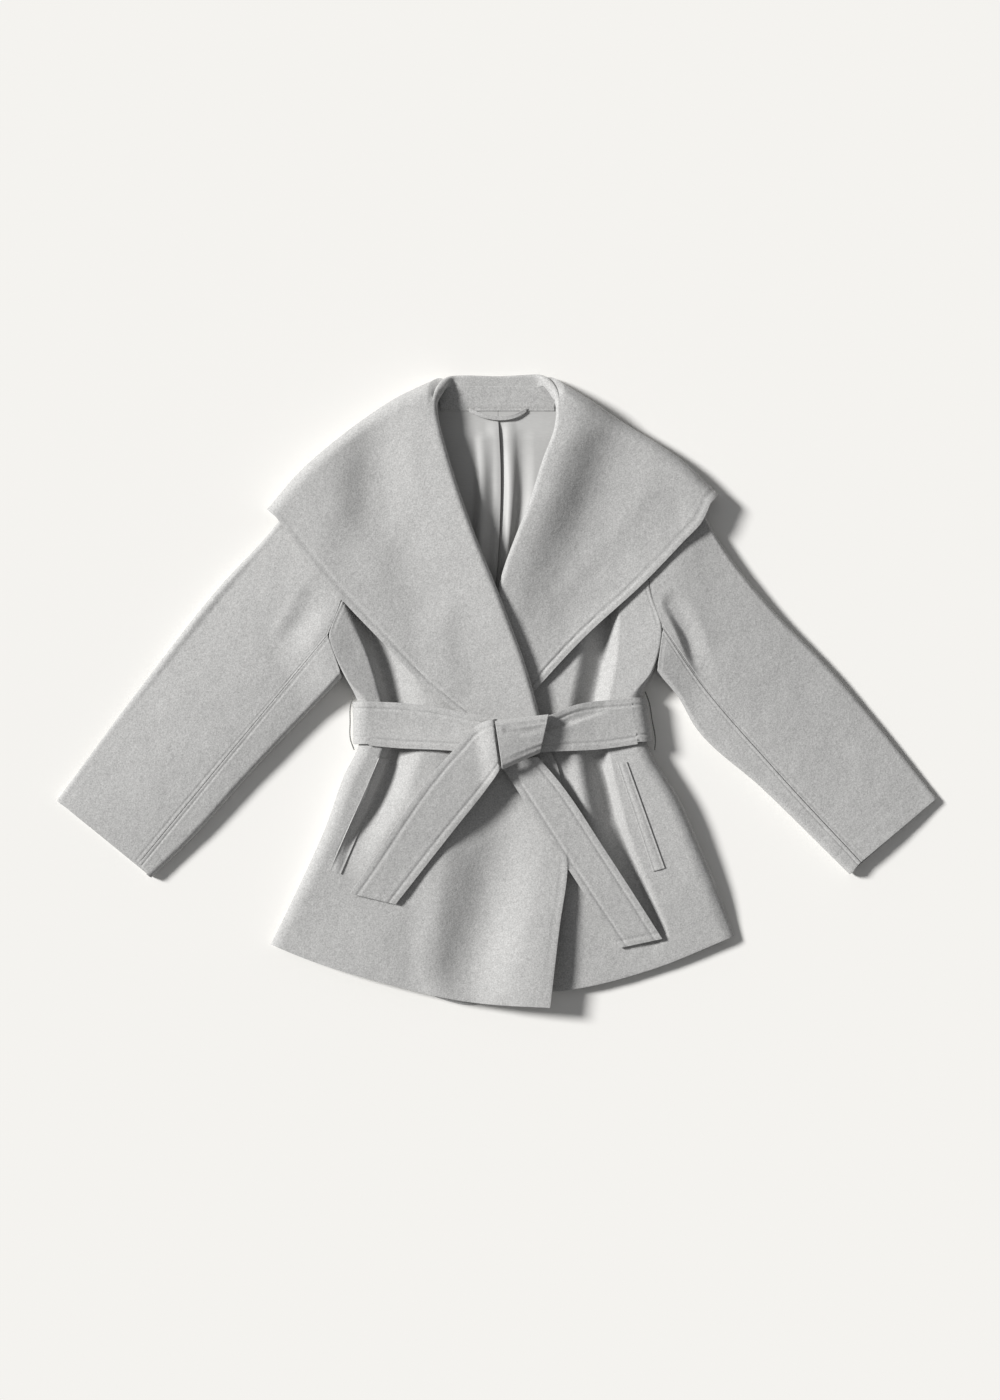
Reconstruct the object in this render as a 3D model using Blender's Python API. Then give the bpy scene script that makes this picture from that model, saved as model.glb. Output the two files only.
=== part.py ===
"""Wrap coat with a wide shawl collar, laid flat on its back with its belt tied.

The coat lies in the XY plane: +X to the right as it is seen, +Y towards the collar, +Z up from the
surface that it rests on.  Tables are in millimetres.  Every piece of cloth is a closed wall over a
grid of points, and a height table and a table of folds shape the two fronts, which all that lies on
them follows with a gap.
"""

import math

import bpy
import numpy as np
from mathutils.bvhtree import BVHTree

MM = 0.001                # metres in a millimetre
WOOL = 2.2                # wall of one layer of felted wool
COLLAR = 2.6              # wall of the collar, two layers sewn together
BELT = 2.4                # wall of the belt
SATIN = 0.8               # wall of the lining
SEAM = 0.3                # gap between pieces sewn edge to edge
LAYER = 1.6               # gap between layers that lie on each other
FOLD = 16.0               # how far a side fold reaches in under the coat
SEAM_TURN = 5.0           # how far a front turns under at its armhole seam
SEAM_DROP = 9.0           # and how far down
SHOULDER_TURN = 6.0       # how far the back turns up at its shoulders
SHOULDER_FOLD = 15.0      # how far the collar's fold over the shoulder reaches
BELT_FOLD = 19.0          # how far the belt turns in under its sides
SLEEVE_FOLD = 7.0         # how far a sleeve turns in at its folds
BACK_SEAM = 0.35          # place of a sleeve's back seam across its underside
KNOT_LOW = 51.2           # height of the rim of the knot's band
WELT = 1.5                # wall of a pocket welt
FACING = 1.8              # wall of the neck facing
ROLL_FRONT = 4.5          # radius of the collar's roll along the fronts
ROLL_BACK = 3.6           # radius of the collar's roll behind the neck
STAND = 20.0              # depth of the collar's stand behind its roll
UNDER_LIFT = 3.6          # how much the coat is raised where the collar lies under its back
BELT_LIFT = 3.2           # how much it is raised where the belt runs under its back
SLEEVE_WIDTH = 165.0      # width of a sleeve laid flat, by its top
BELT_LENGTH = 185.0       # length of one side of the belt, from side to knot
BELT_GAP = 1.0            # gap between the belt and what it lies on
TIP_INSET = 17.0          # how far the panels stay down from the shoulder tips
HEM_FLARE = 13.0          # rise of the free edge at the hem
UNDER_DROP = 8.0          # how much lower the hidden part of the front beneath lies
KNOT_RISE = 10.0          # height of the knot's face over its rims
KNOT_TURN = 7.0           # how far the knot's rims turn in
THREAD = 0.8              # radius of a thread loop
HANGER_WIDTH = 5.0        # width of the hanger loop
HANGER_WALL = 1.2         # its wall

GREY_WOOL = (0.46, 0.46, 0.455)
GREY_SATIN = (0.52, 0.52, 0.51)

# Outlines in plan, x and y.
SIDE_LEFT = ((-186, 303), (-180, 228), (-182, 156), (-189, 112), (-205, 66), (-187, 18),
             (-172, -12), (-170, -66), (-187, -102), (-211, -168), (-241, -234), (-276, -306))
SIDE_RIGHT = ((186, 300), (180, 228), (177, 156), (180, 122), (194, 74), (186, 30),
              (170, -10), (178, -66), (216, -132), (240, -186), (262, -240), (282, -296))
ARMPIT = (66, 74)         # y of the left and the right armpit
HEM_OVER = ((-276, -306), (-240, -321), (-144, -351), (-36, -375), (60, -381))
HEM_UNDER = ((-60, -356), (20, -366), (88, -360), (180, -337), (282, -296))
HEM_BACK = ((-258, -310), (-200, -332), (-120, -354), (-30, -379), (-22, -378), (60, -362),
            (170, -338), (264, -299))
FREE_EDGE_OVER = ((28, -34), (62, -76), (78, -150), (81, -214), (72, -280), (60, -381))
FREE_EDGE_UNDER = ((36, -34), (-48, -90), (-56, -200), (-60, -280), (-60, -356))
ROLL_LEFT = ((48, -34), (42, -12), (30, 30), (12, 78), (-4, 120), (-24, 168), (-44, 222),
             (-58, 264), (-71, 312), (-78, 348), (-76, 375))
ROLL_RIGHT = ((-14, -34), (-12, -12), (-10, 30), (-8, 78), (-1, 128), (19, 186), (36, 229),
              (55, 289), (65, 311), (68, 344), (68, 375))
COLLAR_LEFT = ((-32, -40), (-100, 14), (-136, 52), (-193, 112), (-240, 168), (-280, 217))
COLLAR_RIGHT = ((12, -34), (104, 66), (175, 131), (220, 178), (243, 203), (263, 235))
SHOULDER_LEFT = ((-76, 375), (-107, 361), (-193, 304), (-246, 257), (-280, 217))
SHOULDER_RIGHT = ((68, 375), (83, 366), (139, 328), (222, 274), (263, 235))
NECK_TOP = ((-62, 379), (-40, 379.5), (0, 378), (30, 380), (50, 381))
NECK_LEFT = ((-77, 358), (-62, 379))      # the roll beside the neck, above and beneath
NECK_RIGHT = ((69, 358), (50, 381))
NECK_SEAM_Y = 354         # y of the seam between the collar's stand and the neck facing
SLEEVE_TOP_LEFT = ((-190, 286), (-216, 262), (-247, 230), (-271, 197), (-338, 124), (-430, 7),
                   (-534, -133))
SLEEVE_TOP_RIGHT = ((189, 284), (212, 260), (238, 228), (255, 194), (322, 104), (391, 32),
                    (526, -130))
SLEEVE_LOW_LEFT = ((-189, 16), (-289, -88), (-380, -188), (-420, -226))
SLEEVE_LOW_RIGHT = ((188, 22), (214, -8), (234, -43), (316, -119), (421, -222))
SLEEVE_SEAM_LEFT = ((-206.5, 66), (-320, -70), (-434, -208))
SLEEVE_SEAM_RIGHT = ((195.5, 74), (232, 20), (330, -95), (434, -207))

# Heights of the fronts' outer face: y, then from the left side to the right side.
FORM = (
    # y, left, left middle, middle, right middle, right
    (385, 17, 18, 18, 18, 17),
    (300, 19, 21, 20, 20, 19),
    (200, 22, 22, 19, 21, 23),
    (120, 27, 21, 18, 20, 26),
    (66, 34, 19, 17, 20, 31),
    (10, 33, 19, 17, 21, 29),
    (-38, 28, 22, 19, 22, 27),
    (-90, 30, 25, 21, 25, 29),
    (-150, 28, 26, 22, 22, 28),
    (-230, 21, 24, 20, 18, 22),
    (-300, 13, 20, 17, 13, 13),
    (-385, 9, 14, 15, 12, 9),
)

# Edges of the belt and its tails, and heights of their outer faces along them.
BELT_SIDE_LEFT = ((-176.8, -14), (-176.8, -65))
BELT_SIDE_RIGHT = ((175.6, -9), (183.6, -62))
BELT_TOP_LEFT = ((-176.8, -14), (-150, -14), (-84, -19), (-36, -28), (12, -34))
BELT_LOW_LEFT = ((-176.8, -65), (-120, -70), (-72, -72), (-44, -74), (12, -78))
BELT_TOP_RIGHT = ((175.6, -9), (132, -12), (90, -18), (60, -30), (13, -36))
BELT_LOW_RIGHT = ((183.6, -62), (120, -71), (58, -74), (13, -78))
BELT_HEIGHT = ((-175, 31), (-120, 33), (-70, 38), (-20, 42), (12, 43), (45, 42), (80, 38),
               (120, 34), (182, 30))
KNOT_LEFT = ((-6, -36), (-2, -66), (3, -95))
KNOT_RIGHT = ((58, -29), (55, -52), (48, -75))
TAIL_LEFT_UPPER = ((2, -33), (-22, -39), (-52, -68), (-180, -244))
TAIL_LEFT_LOWER = ((4, -89), (-8, -107), (-60, -174), (-125, -257))
TAIL_RIGHT_LEFT = ((0, -88), (20, -119), (80, -212), (144, -310))
TAIL_RIGHT_RIGHT = ((45, -80), (66, -104), (130, -198), (195, -299))
TAIL_LEFT_HEIGHT = ((33, 50.5), (90, 50), (132, 46), (190, 36), (257, 28))
TAIL_RIGHT_HEIGHT = ((80, 46), (100, 45), (132, 42), (190, 35), (240, 29), (305, 17))
WELT_LEFT = (((-145, -82), (-204, -216)), ((-132, -82), (-191, -221)))
WELT_RIGHT = (((140, -86), (184, -218)), ((152, -86), (198, -214)))
PLEAT = ((-2, 330), (1, 269), (-1, 178), (-7, 100))
HANGER = ((-37, 337, 10.0), (-20, 330, 12.0), (-2, 327, 12.5), (16, 329, 12.5), (32, 337, 10.0))
LOOP_LEFT = ((-176.4, -7, 14), (-179.6, -18, 15), (-180.2, -38, 15), (-179.6, -60, 15),
             (-175.4, -72, 14))
LOOP_RIGHT = ((174.6, -2, 14), (179, -14, 15), (182.8, -36, 15), (186.8, -62, 15),
              (186, -72, 14))

# Folds of the fronts: start, middle and end, half widths on either side, and rises at the three.
FOLDS = (
    # panel, start, middle, end, left width, right width, rises
    ("over", (-176, 106), (-150, 50), (-128, -22), 19, 30, (-12, -17, -15)),
    ("over", (-124, -64), (-150, -128), (-192, -196), 17, 30, (-17, -18, -5)),
    ("over", (4, -160), (-14, -240), (-38, -330), 52, 52, (-4, -8, -8)),
    ("over", (-104, -98), (-96, -140), (-110, -200), 30, 60, (4, 4, 2)),
    ("under", (124, 98), (122, 44), (110, -22), 26, 11, (-14, -17, -15)),
    ("under", (120, -80), (142, -170), (190, -286), 34, 12, (-15, -14, -6)),
    ("under", (96, -76), (106, -130), (124, -190), 26, 20, (5, 6, 1)),
    ("lining", (-22, 300), (-22, 230), (-26, 140), 12, 16, (1, 5, 4)),
    ("lining", (8, 318), (10, 240), (4, 150), 9, 11, (2, 6, 5)),
    ("lining", (48, 310), (46, 260), (40, 200), 13, 20, (2, 5, 4)),
)

# Heights of the lapels' outer face: y, then by the distance across from the roll.
LAPEL_SPREAD = (0, 45, 95, 150, 230)
LAPEL_LEFT = (
    # y, roll, near, middle, far, edge
    (375, 32, 31, 30, 28, 25),
    (300, 39, 36, 33, 31, 26),
    (222, 43, 38, 34, 32, 28),
    (120, 43, 38, 35, 33, 29),
    (30, 41, 37, 33, 31, 29),
    (-40, 37, 34, 31, 29, 28),
)
LAPEL_RIGHT = (
    # y, roll, near, middle, far, edge
    (375, 32, 31, 30, 30, 32),
    (300, 41, 35, 31, 32, 36),
    (229, 42, 31, 30, 32, 38),
    (150, 31, 31, 31, 33, 36),
    (78, 24, 28, 30, 31, 31),
    (30, 23, 25, 27, 29, 29),
    (-40, 20, 21, 23, 26, 26),
)


# ---------------------------------------------------------------- curves and patches

def lerp(a, b, t):
    return a + (b - a) * t


def step(a, b, x):
    """Smooth step from 0 at a to 1 at b."""
    t = np.clip((np.asarray(x, float) - a) / (b - a), 0, 1)
    return t * t * (3 - 2 * t)


def over(height, support, blend=1.5):
    """The greater of two heights, with a rounded change from one to the other."""
    return 0.5 * (height + support + np.sqrt((height - support) ** 2 + blend ** 2))


def hermite(knots, values, t):
    """Smooth interpolation at t through values given at rising knots."""
    slopes = np.gradient(values, knots, axis=0)
    k = np.clip(np.searchsorted(knots, t, side="right") - 1, 0, len(knots) - 2)
    width = (knots[k + 1] - knots[k])
    f = np.clip((t - knots[k]) / width, 0, 1)
    if values.ndim > 1:
        width, f = width[..., None], f[..., None]
    return (values[k] * (1 + 2 * f) * (1 - f) ** 2 + values[k + 1] * (3 - 2 * f) * f ** 2
            + width * (slopes[k] * f * (1 - f) ** 2 - slopes[k + 1] * f ** 2 * (1 - f)))


def curve(points):
    """Smooth curve through points: a function of 0 to 1 along it."""
    points = np.array(points, float)
    chords = np.r_[0, np.cumsum(np.linalg.norm(np.diff(points, axis=0), axis=1))]
    return lambda t: hermite(chords / chords[-1], points, np.asarray(t, float))


def x_on(points):
    """x of an outline as a function of y."""
    line = curve(points)(np.linspace(0, 1, 200))
    order = np.argsort(line[:, 1])
    return lambda y: np.interp(y, line[order, 1], line[order, 0])


def coons(top, bottom, left, right):
    """Patch between four curves: s runs from top to bottom and w from left to right."""
    def at(s, w):
        s, w = np.broadcast_arrays(np.asarray(s, float), np.asarray(w, float))
        t, b = s[..., None], w[..., None]
        corners = lerp(lerp(top(0.0), top(1.0), b), lerp(bottom(0.0), bottom(1.0), b), t)
        return lerp(top(w), bottom(w), t) + lerp(left(s), right(s), b) - corners
    return at


def table_height(rows, spread, y, across):
    """Height from a table whose rows go by y and whose columns go by the distance across."""
    rows = np.array(sorted(rows), float)
    columns = hermite(rows[:, 0], rows[:, 1:], np.clip(y, rows[0, 0], rows[-1, 0]))
    spread = np.array(spread, float)
    across = np.clip(across, spread[0], spread[-1])
    k = np.clip(np.searchsorted(spread, across, side="right") - 1, 0, len(spread) - 2)
    slopes = np.gradient(columns, spread, axis=-1)
    width = spread[k + 1] - spread[k]
    f = (across - spread[k]) / width

    def pick(values, index):
        return np.take_along_axis(values, index[..., None], axis=-1)[..., 0]

    return (pick(columns, k) * (1 + 2 * f) * (1 - f) ** 2
            + pick(columns, k + 1) * (3 - 2 * f) * f ** 2
            + width * (pick(slopes, k) * f * (1 - f) ** 2 - pick(slopes, k + 1) * f ** 2 * (1 - f)))


def fold_rise(x, y, start, middle, end, left, right, rises):
    """Rise of one fold: a soft trough or ridge along a curved line."""
    line = curve((start, middle, end))(np.linspace(0, 1, 25))
    heights = hermite(np.array((0.0, 0.5, 1.0)), np.array(rises, float), np.linspace(0, 1, 25))
    nearest = np.full(np.shape(x), 1e9)
    rise = np.zeros(np.shape(x))
    for k in range(len(line) - 1):
        a, d = line[k], line[k + 1] - line[k]
        t = np.clip(((x - a[0]) * d[0] + (y - a[1]) * d[1]) / (d @ d), 0, 1)
        ex, ey = x - a[0] - t * d[0], y - a[1] - t * d[1]
        gap = np.hypot(ex, ey)
        # Lines run down the coat, so the left of the coat is on their right-hand side.
        turn = (d[0] * ey - d[1] * ex) / (np.hypot(*d) * np.maximum(gap, 1e-6))
        width = lerp(left, right, 0.5 + 0.5 * turn)
        here = lerp(heights[k], heights[k + 1], t) * (0.5 + 0.5 * np.cos(
            np.pi * np.clip(gap / width, 0, 1)))
        rise = np.where(gap < nearest, here, rise)
        nearest = np.minimum(gap, nearest)
    return rise


# ---------------------------------------------------------------- heights

left_side, right_side = x_on(SIDE_LEFT), x_on(SIDE_RIGHT)
roll_left, roll_right = x_on(ROLL_LEFT), x_on(ROLL_RIGHT)
free_over = x_on(FREE_EDGE_OVER)


def base(x, y):
    """Height of what rests low: the surface, or the collar or belt lying under the back."""
    under_collar = step(135, 190, y)
    under_belt = step(-130, -88, y) * (1 - step(12, 50, y))
    return UNDER_LIFT * under_collar + BELT_LIFT * under_belt


def form(x, y):
    """Height of the fronts' outer face before folds."""
    left, right = left_side(y), right_side(y)
    return table_height(FORM, (0, 0.25, 0.5, 0.75, 1), y, (x - left) / (right - left))


def folds(x, y, panel):
    rows = [row[1:] for row in FOLDS if row[0] == panel]
    return sum(fold_rise(x, y, *row) for row in rows)


def roll_height(table, y):
    return table_height(table, LAPEL_SPREAD, y, 0 * y)


def front_under(x, y):
    """Outer face of the front that lies beneath: it meets the right stand below its roll."""
    near = 1 - step(STAND, STAND + 55, x - roll_right(y))
    seat = roll_height(LAPEL_RIGHT, y) - 2 * ROLL_FRONT
    hidden = UNDER_DROP * step(-90, -160, y) * step(92, 40, x)
    z = lerp(form(x, y) - hidden, seat, near * step(-60, -20, y))
    return z + folds(x, y, "under")


def front_over(x, y):
    """Outer face of the front that lies on top: over the other front, and up to its stand."""
    z = form(x, y) + (WOOL + LAYER + 0.8) * step(-112, -66, x)
    flare = HEM_FLARE * step(-130, -330, y) * step(100, 8, free_over(y) - x)
    near = 1 - step(STAND, STAND + 60, roll_left(y) - x)
    seat = roll_height(LAPEL_LEFT, y) - 2 * ROLL_FRONT
    z = lerp(z + flare, seat, near * step(-60, -20, y))
    return z + folds(x, y, "over")


def sleeve(x, y, side):
    """Outer face of a sleeve on its upper side; side is -1 for the left and 1 for the right."""
    top = np.array(SLEEVE_TOP_LEFT if side < 0 else SLEEVE_TOP_RIGHT, float)
    start, end = top[0], top[-1]
    length = np.linalg.norm(end - start)
    ax, ay = (end - start) / length
    along = ((x - start[0]) * ax + (y - start[1]) * ay) / length
    across = abs((x - start[0]) * ay - (y - start[1]) * ax) / SLEEVE_WIDTH
    crown = 0.74 + 0.26 * (1 - (2 * np.clip(across, 0, 1) - 1) ** 2)
    knots = np.array((-0.3, 0.0, 0.25, 0.6, 1.0, 1.2))
    tall = hermite(knots, np.array((27.0, 27.0, 25.0, 20.0, 14.0, 13.0)), np.clip(along, -0.3, 1.2))
    edge = left_side(y) if side < 0 else right_side(y)
    away = step(0, 75, (x - edge) * side)
    return lerp(form(x, y), tall * crown, away)


def lapel_right(x, y):
    z = table_height(LAPEL_RIGHT, LAPEL_SPREAD, y, x - roll_right(y))
    support = np.where(x < right_side(y), front_under(x, y), sleeve(x, y, 1))
    return over(z, support + COLLAR + LAYER)


def lapel_left(x, y):
    z = table_height(LAPEL_LEFT, LAPEL_SPREAD, y, roll_left(y) - x)
    support = np.where(x > left_side(y), front_over(x, y), sleeve(x, y, -1))
    return over(z, support + COLLAR + LAYER)


def top_face(x, y):
    """Outer face of the fronts where the belt and its tails lie."""
    return np.where(x < free_over(y), front_over(x, y), front_under(x, y))


def along_x(table, x):
    table = np.array(table, float)
    return hermite(table[:, 0], table[:, 1], np.clip(x, table[0, 0], table[-1, 0]))


def belt(x, y):
    return over(along_x(BELT_HEIGHT, x), top_face(x, y) + BELT + BELT_GAP)


def tail(table):
    def height(x, y):
        return over(along_x(table, -y), top_face(x, y) + BELT + BELT_GAP)
    return height


def lining(x, y):
    return base(x, y) + WOOL + SATIN + 1.2 + folds(x, y, "lining")


# ---------------------------------------------------------------- walls

def unit(v):
    return v / np.maximum(np.linalg.norm(v, axis=-1, keepdims=True), 1e-9)


def grid_normals(grid):
    """Unit normals of a grid of points, pointing along rows x columns."""
    return unit(np.cross(np.gradient(grid, axis=0), np.gradient(grid, axis=1)))


def material(name, colour, rough):
    mat = bpy.data.materials.new(name)
    mat.use_nodes = True
    shader = mat.node_tree.nodes["Principled BSDF"]
    shader.inputs["Base Color"].default_value = (*colour, 1)
    shader.inputs["Roughness"].default_value = rough
    shader.inputs["Metallic"].default_value = 0.0
    return mat


def wall(name, grid, thickness, colour=GREY_WOOL, rough=0.9, flip=False):
    """A closed wall under a grid of outer points: rows x columns x 3, in millimetres."""
    if flip:
        grid = grid[:, ::-1]
    inner = grid - grid_normals(grid) * thickness
    # The surface under the coat is flat, so nothing of a wall goes below it.
    inner[..., 2] = np.maximum(inner[..., 2], 0.0)
    rows, columns = grid.shape[:2]
    points = np.concatenate((grid.reshape(-1, 3), inner.reshape(-1, 3))) * MM
    number = np.arange(rows * columns).reshape(rows, columns)
    under = number + rows * columns
    faces = []
    for i in range(rows - 1):
        for j in range(columns - 1):
            for a, b, c in ((0, 1, 2), (0, 2, 3)):
                face = [((i, j), (i + 1, j), (i + 1, j + 1), (i, j + 1))[k] for k in (a, b, c)]
                faces.append([number[k] for k in face])
                faces.append([under[k] for k in reversed(face)])
    rim = list(number[0, :]) + list(number[1:, -1]) + list(number[-1, -2::-1])
    rim += list(number[-2:0:-1, 0])
    for k, a in enumerate(rim):
        b = rim[(k + 1) % len(rim)]
        faces.append((a, b, b + rows * columns, a + rows * columns))
    mesh = bpy.data.meshes.new(name)
    mesh.from_pydata(points.tolist(), [], [tuple(int(v) for v in face) for face in faces])
    mesh.shade_smooth()
    mesh.set_sharp_from_angle(angle=math.radians(50))
    mesh.materials.append(material(name, colour, rough))
    piece = bpy.data.objects.new(name, mesh)
    bpy.context.scene.collection.objects.link(piece)
    return piece


def turned(edge, inward, reach, high, low, count):
    """Half an ellipse that turns a sheet under: rows x count points, from high to low."""
    angle = np.linspace(0, math.pi, count)
    reach = np.broadcast_to(reach, edge.shape[:1])
    plan = edge[:, None] + inward[:, None] * (reach[:, None] * (1 - np.sin(angle)))[..., None]
    z = low[:, None] + (high - low)[:, None] * (1 + np.cos(angle)) / 2
    return np.concatenate((plan, z[..., None]), axis=2)


def lift(plan, height):
    """Points in plan raised to a height function."""
    return np.concatenate((plan, height(plan[..., 0], plan[..., 1])[..., None]), axis=-1)


# ---------------------------------------------------------------- pieces

def wrap_depth(y, armpit):
    """How far the side fold reaches under: a side below the armpit, and a seam above it."""
    return lerp(FOLD, SEAM_TURN, step(armpit - 14, armpit + 8, y))


def front(name, patch, height, armpit, rows, columns, flip):
    """One front: its side folds under to its seam, and it turns down at its armhole."""
    s = np.array(rows)[:, None]
    edge = patch(s, 0.0)[:, 0]
    inner = patch(s, 0.04)[:, 0]
    inward = unit(inner - edge)
    span = np.linalg.norm(patch(s, 1.0)[:, 0] - edge, axis=1)
    reach = wrap_depth(edge[:, 1], armpit)
    first = reach / span
    w = first[:, None] + (1 - first)[:, None] * np.array(columns)
    top = lift(patch(s + 0 * w, w), height)
    full = step(armpit + 8, armpit - 14, edge[:, 1])
    low_z = lerp(top[:, 0, 2] - SEAM_DROP, base(edge[:, 0], edge[:, 1]), full)
    side = turned(edge, inward, reach, top[:, 0, 2], low_z, 8)
    grid = np.concatenate((side[:, :0:-1], top), axis=1)
    return wall(name, grid, WOOL, flip=flip)


def build_fronts():
    stand_left = [(x - STAND - 8, y) for x, y in ROLL_LEFT[:-2]] + [(-96, 340)]
    neck = stand_left[-1]
    edge_over = stand_left[::-1] + list(FREE_EDGE_OVER[1:])
    tip = (SIDE_LEFT[0][0], SIDE_LEFT[0][1] - TIP_INSET)
    side = (tip,) + SIDE_LEFT[1:]
    patch = coons(curve((tip, neck)), curve(HEM_OVER), curve(side), curve(edge_over))
    rows = np.linspace(0, 1, 20)
    columns = np.linspace(0, 1, 13)
    front("front_over", patch, front_over, ARMPIT[0], rows, columns, False)

    stand_right = [(x + STAND + 8, y) for x, y in ROLL_RIGHT[:-2]] + [(88, 340)]
    neck = stand_right[-1]
    edge_under = stand_right[::-1] + list(FREE_EDGE_UNDER[1:])
    tip = (SIDE_RIGHT[0][0], SIDE_RIGHT[0][1] - TIP_INSET)
    side = (tip,) + SIDE_RIGHT[1:]
    patch = coons(curve((tip, neck)), curve(HEM_UNDER[::-1]), curve(side), curve(edge_under))
    front("front_under", patch, front_under, ARMPIT[1], rows, columns, True)


def build_back():
    def side(points, armpit, sign):
        line = curve(points)(np.linspace(0, 1, 24))
        share = (wrap_depth(line[:, 1], armpit + 12) - SEAM_TURN) / (FOLD - SEAM_TURN)
        depth = SEAM + share * (FOLD + 4.0)
        line[:, 0] -= sign * depth
        return line

    left, right = side(SIDE_LEFT, ARMPIT[0], -1), side(SIDE_RIGHT, ARMPIT[1], 1)
    left[0, 1] -= TIP_INSET
    right[0, 1] -= TIP_INSET
    top = (left[0], (-130, 318), (-84, 346), (-50, 346), (0, 345), (45, 346), (78, 346),
           (130, 316), right[0])
    hem = (left[-1],) + HEM_BACK[1:-1] + (right[-1],)
    patch = coons(curve(top), curve(hem), curve(left), curve(right))
    s, w = np.meshgrid(np.linspace(0, 1, 18), np.linspace(0, 1, 13), indexing="ij")
    flat = lift(patch(s, w), base)
    # The shoulders rise to the edges of the fronts, and the neck edge stays flat.
    edge = flat[0]
    out = unit(flat[0, :, :2] - flat[1, :, :2])
    shoulder = step(-94, -116, edge[:, 0]) + step(90, 112, edge[:, 0])
    front_edge = front_rim(edge[:, 0], edge[:, 1])
    rise = []
    for angle in (math.pi / 2, math.pi / 3, math.pi / 6):
        ring = edge.copy()
        ring[:, :2] += out * SHOULDER_TURN * math.sin(angle)
        ring[:, 2] += shoulder * (front_edge - edge[:, 2]) * (1 - math.cos(angle))
        rise.append(ring)
    grid = np.concatenate((np.array(rise), flat))
    # The grid is the outer face, which lies down, so its wall goes up from it.
    wall("back", grid, WOOL, flip=True)


def front_rim(x, y):
    """Height just under the fronts' shoulder edges."""
    return form(x, y) - WOOL - 3 * SEAM


def build_collar():
    """One sheet from lapel to lapel: over the shoulders, behind the neck, and rolled at its inner
    edge down to the stand."""
    widths = np.linspace(0, 1, 9)
    beside = (1 - step(0, 0.22, widths))[:, None]

    def lapel(roll, outer, shoulder, neck, height, sign):
        edge = curve(shoulder)(widths)
        along = unit(np.gradient(edge, axis=0))
        out = np.stack((along[:, 1], -along[:, 0]), axis=1) * sign
        inset = edge - out * SHOULDER_FOLD
        upper = lerp(inset, np.array(neck[0], float), beside)
        lower = lerp(inset, np.array(neck[1], float), beside)
        reach = lerp(SHOULDER_FOLD, 7.0, beside)
        roll_line = curve(list(roll[:-1]) + [upper[0]])
        outer_line = curve(list(outer[:-1]) + [upper[-1]])
        bottom = curve((roll[0], outer[0]))
        patch = coons(bottom, curve(upper), roll_line, outer_line)
        s, w = np.meshgrid(np.linspace(0, 1, 14), widths, indexing="ij")
        rows = lift(patch(s, w), height)
        high = rows[-1, :, 2]
        turns = []
        for angle in np.linspace(0, math.pi, 8)[1:-1]:
            share = (1 - math.cos(angle)) / 2
            plan = lerp(upper, lower, share) + out * reach * math.sin(angle)
            turns.append(np.concatenate((plan, (high * (1 - share))[:, None]), axis=1))
        return rows, np.array(turns), lower

    left, left_turn, left_low = lapel(
        ROLL_LEFT, COLLAR_LEFT, SHOULDER_LEFT, NECK_LEFT, lapel_left, 1)
    right, right_turn, right_low = lapel(
        ROLL_RIGHT, COLLAR_RIGHT, SHOULDER_RIGHT, NECK_RIGHT, lapel_right, -1)
    behind = coons(curve(left_low), curve(right_low), curve(NECK_TOP),
                   curve((left_low[-1], right_low[-1])))
    s, w = np.meshgrid(np.linspace(0, 1, 9), widths, indexing="ij")
    back = lift(behind(s, w), lambda x, y: 0 * x)
    fall = np.concatenate((left, left_turn, back, right_turn[::-1], right[::-1]))

    # The stand is shallow where the sheet turns over the shoulder beside the neck.
    turning = np.zeros(len(fall))
    first, count = len(left), len(left_turn)
    turning[first:first + count + 1] = 1
    turning[-first - count - 1:-first] = 1
    turning = np.convolve(np.pad(turning, 1, mode="edge"), (0.25, 0.5, 0.25), "valid")[:, None]
    # The roll and the stand, worked out from the fall's inner edge.
    inward = unit(fall[:, 1] - fall[:, 0])
    inward = unit(lerp(inward, np.array((0.0, -1.0, 0.0)), 0.8 * turning))
    normal = unit(np.cross(np.gradient(fall[:, 0], axis=0), inward))
    behind_neck = step(14, 5, fall[:, 0, 2])[:, None]
    radius = lerp(ROLL_FRONT, ROLL_BACK, behind_neck)
    rings = []
    for depth in (STAND, STAND * 0.5, 0.0):
        depth = depth * (1 - 0.75 * turning)
        rings.append(fall[:, 0] - 2 * radius * normal + inward * (radius + depth))
    for angle in np.linspace(math.pi, 0, 6)[1:-1]:
        rings.append(fall[:, 0] + inward * radius - normal * radius
                     + radius * (normal * math.cos(angle) - inward * math.sin(angle)))
    rings.append(fall[:, 0] + inward * radius)
    grid = np.concatenate((np.stack(rings, axis=1), fall[:, 1:]), axis=1)
    grid[..., 2] = np.maximum(grid[..., 2], 0)
    wall("collar", grid, COLLAR)


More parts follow.
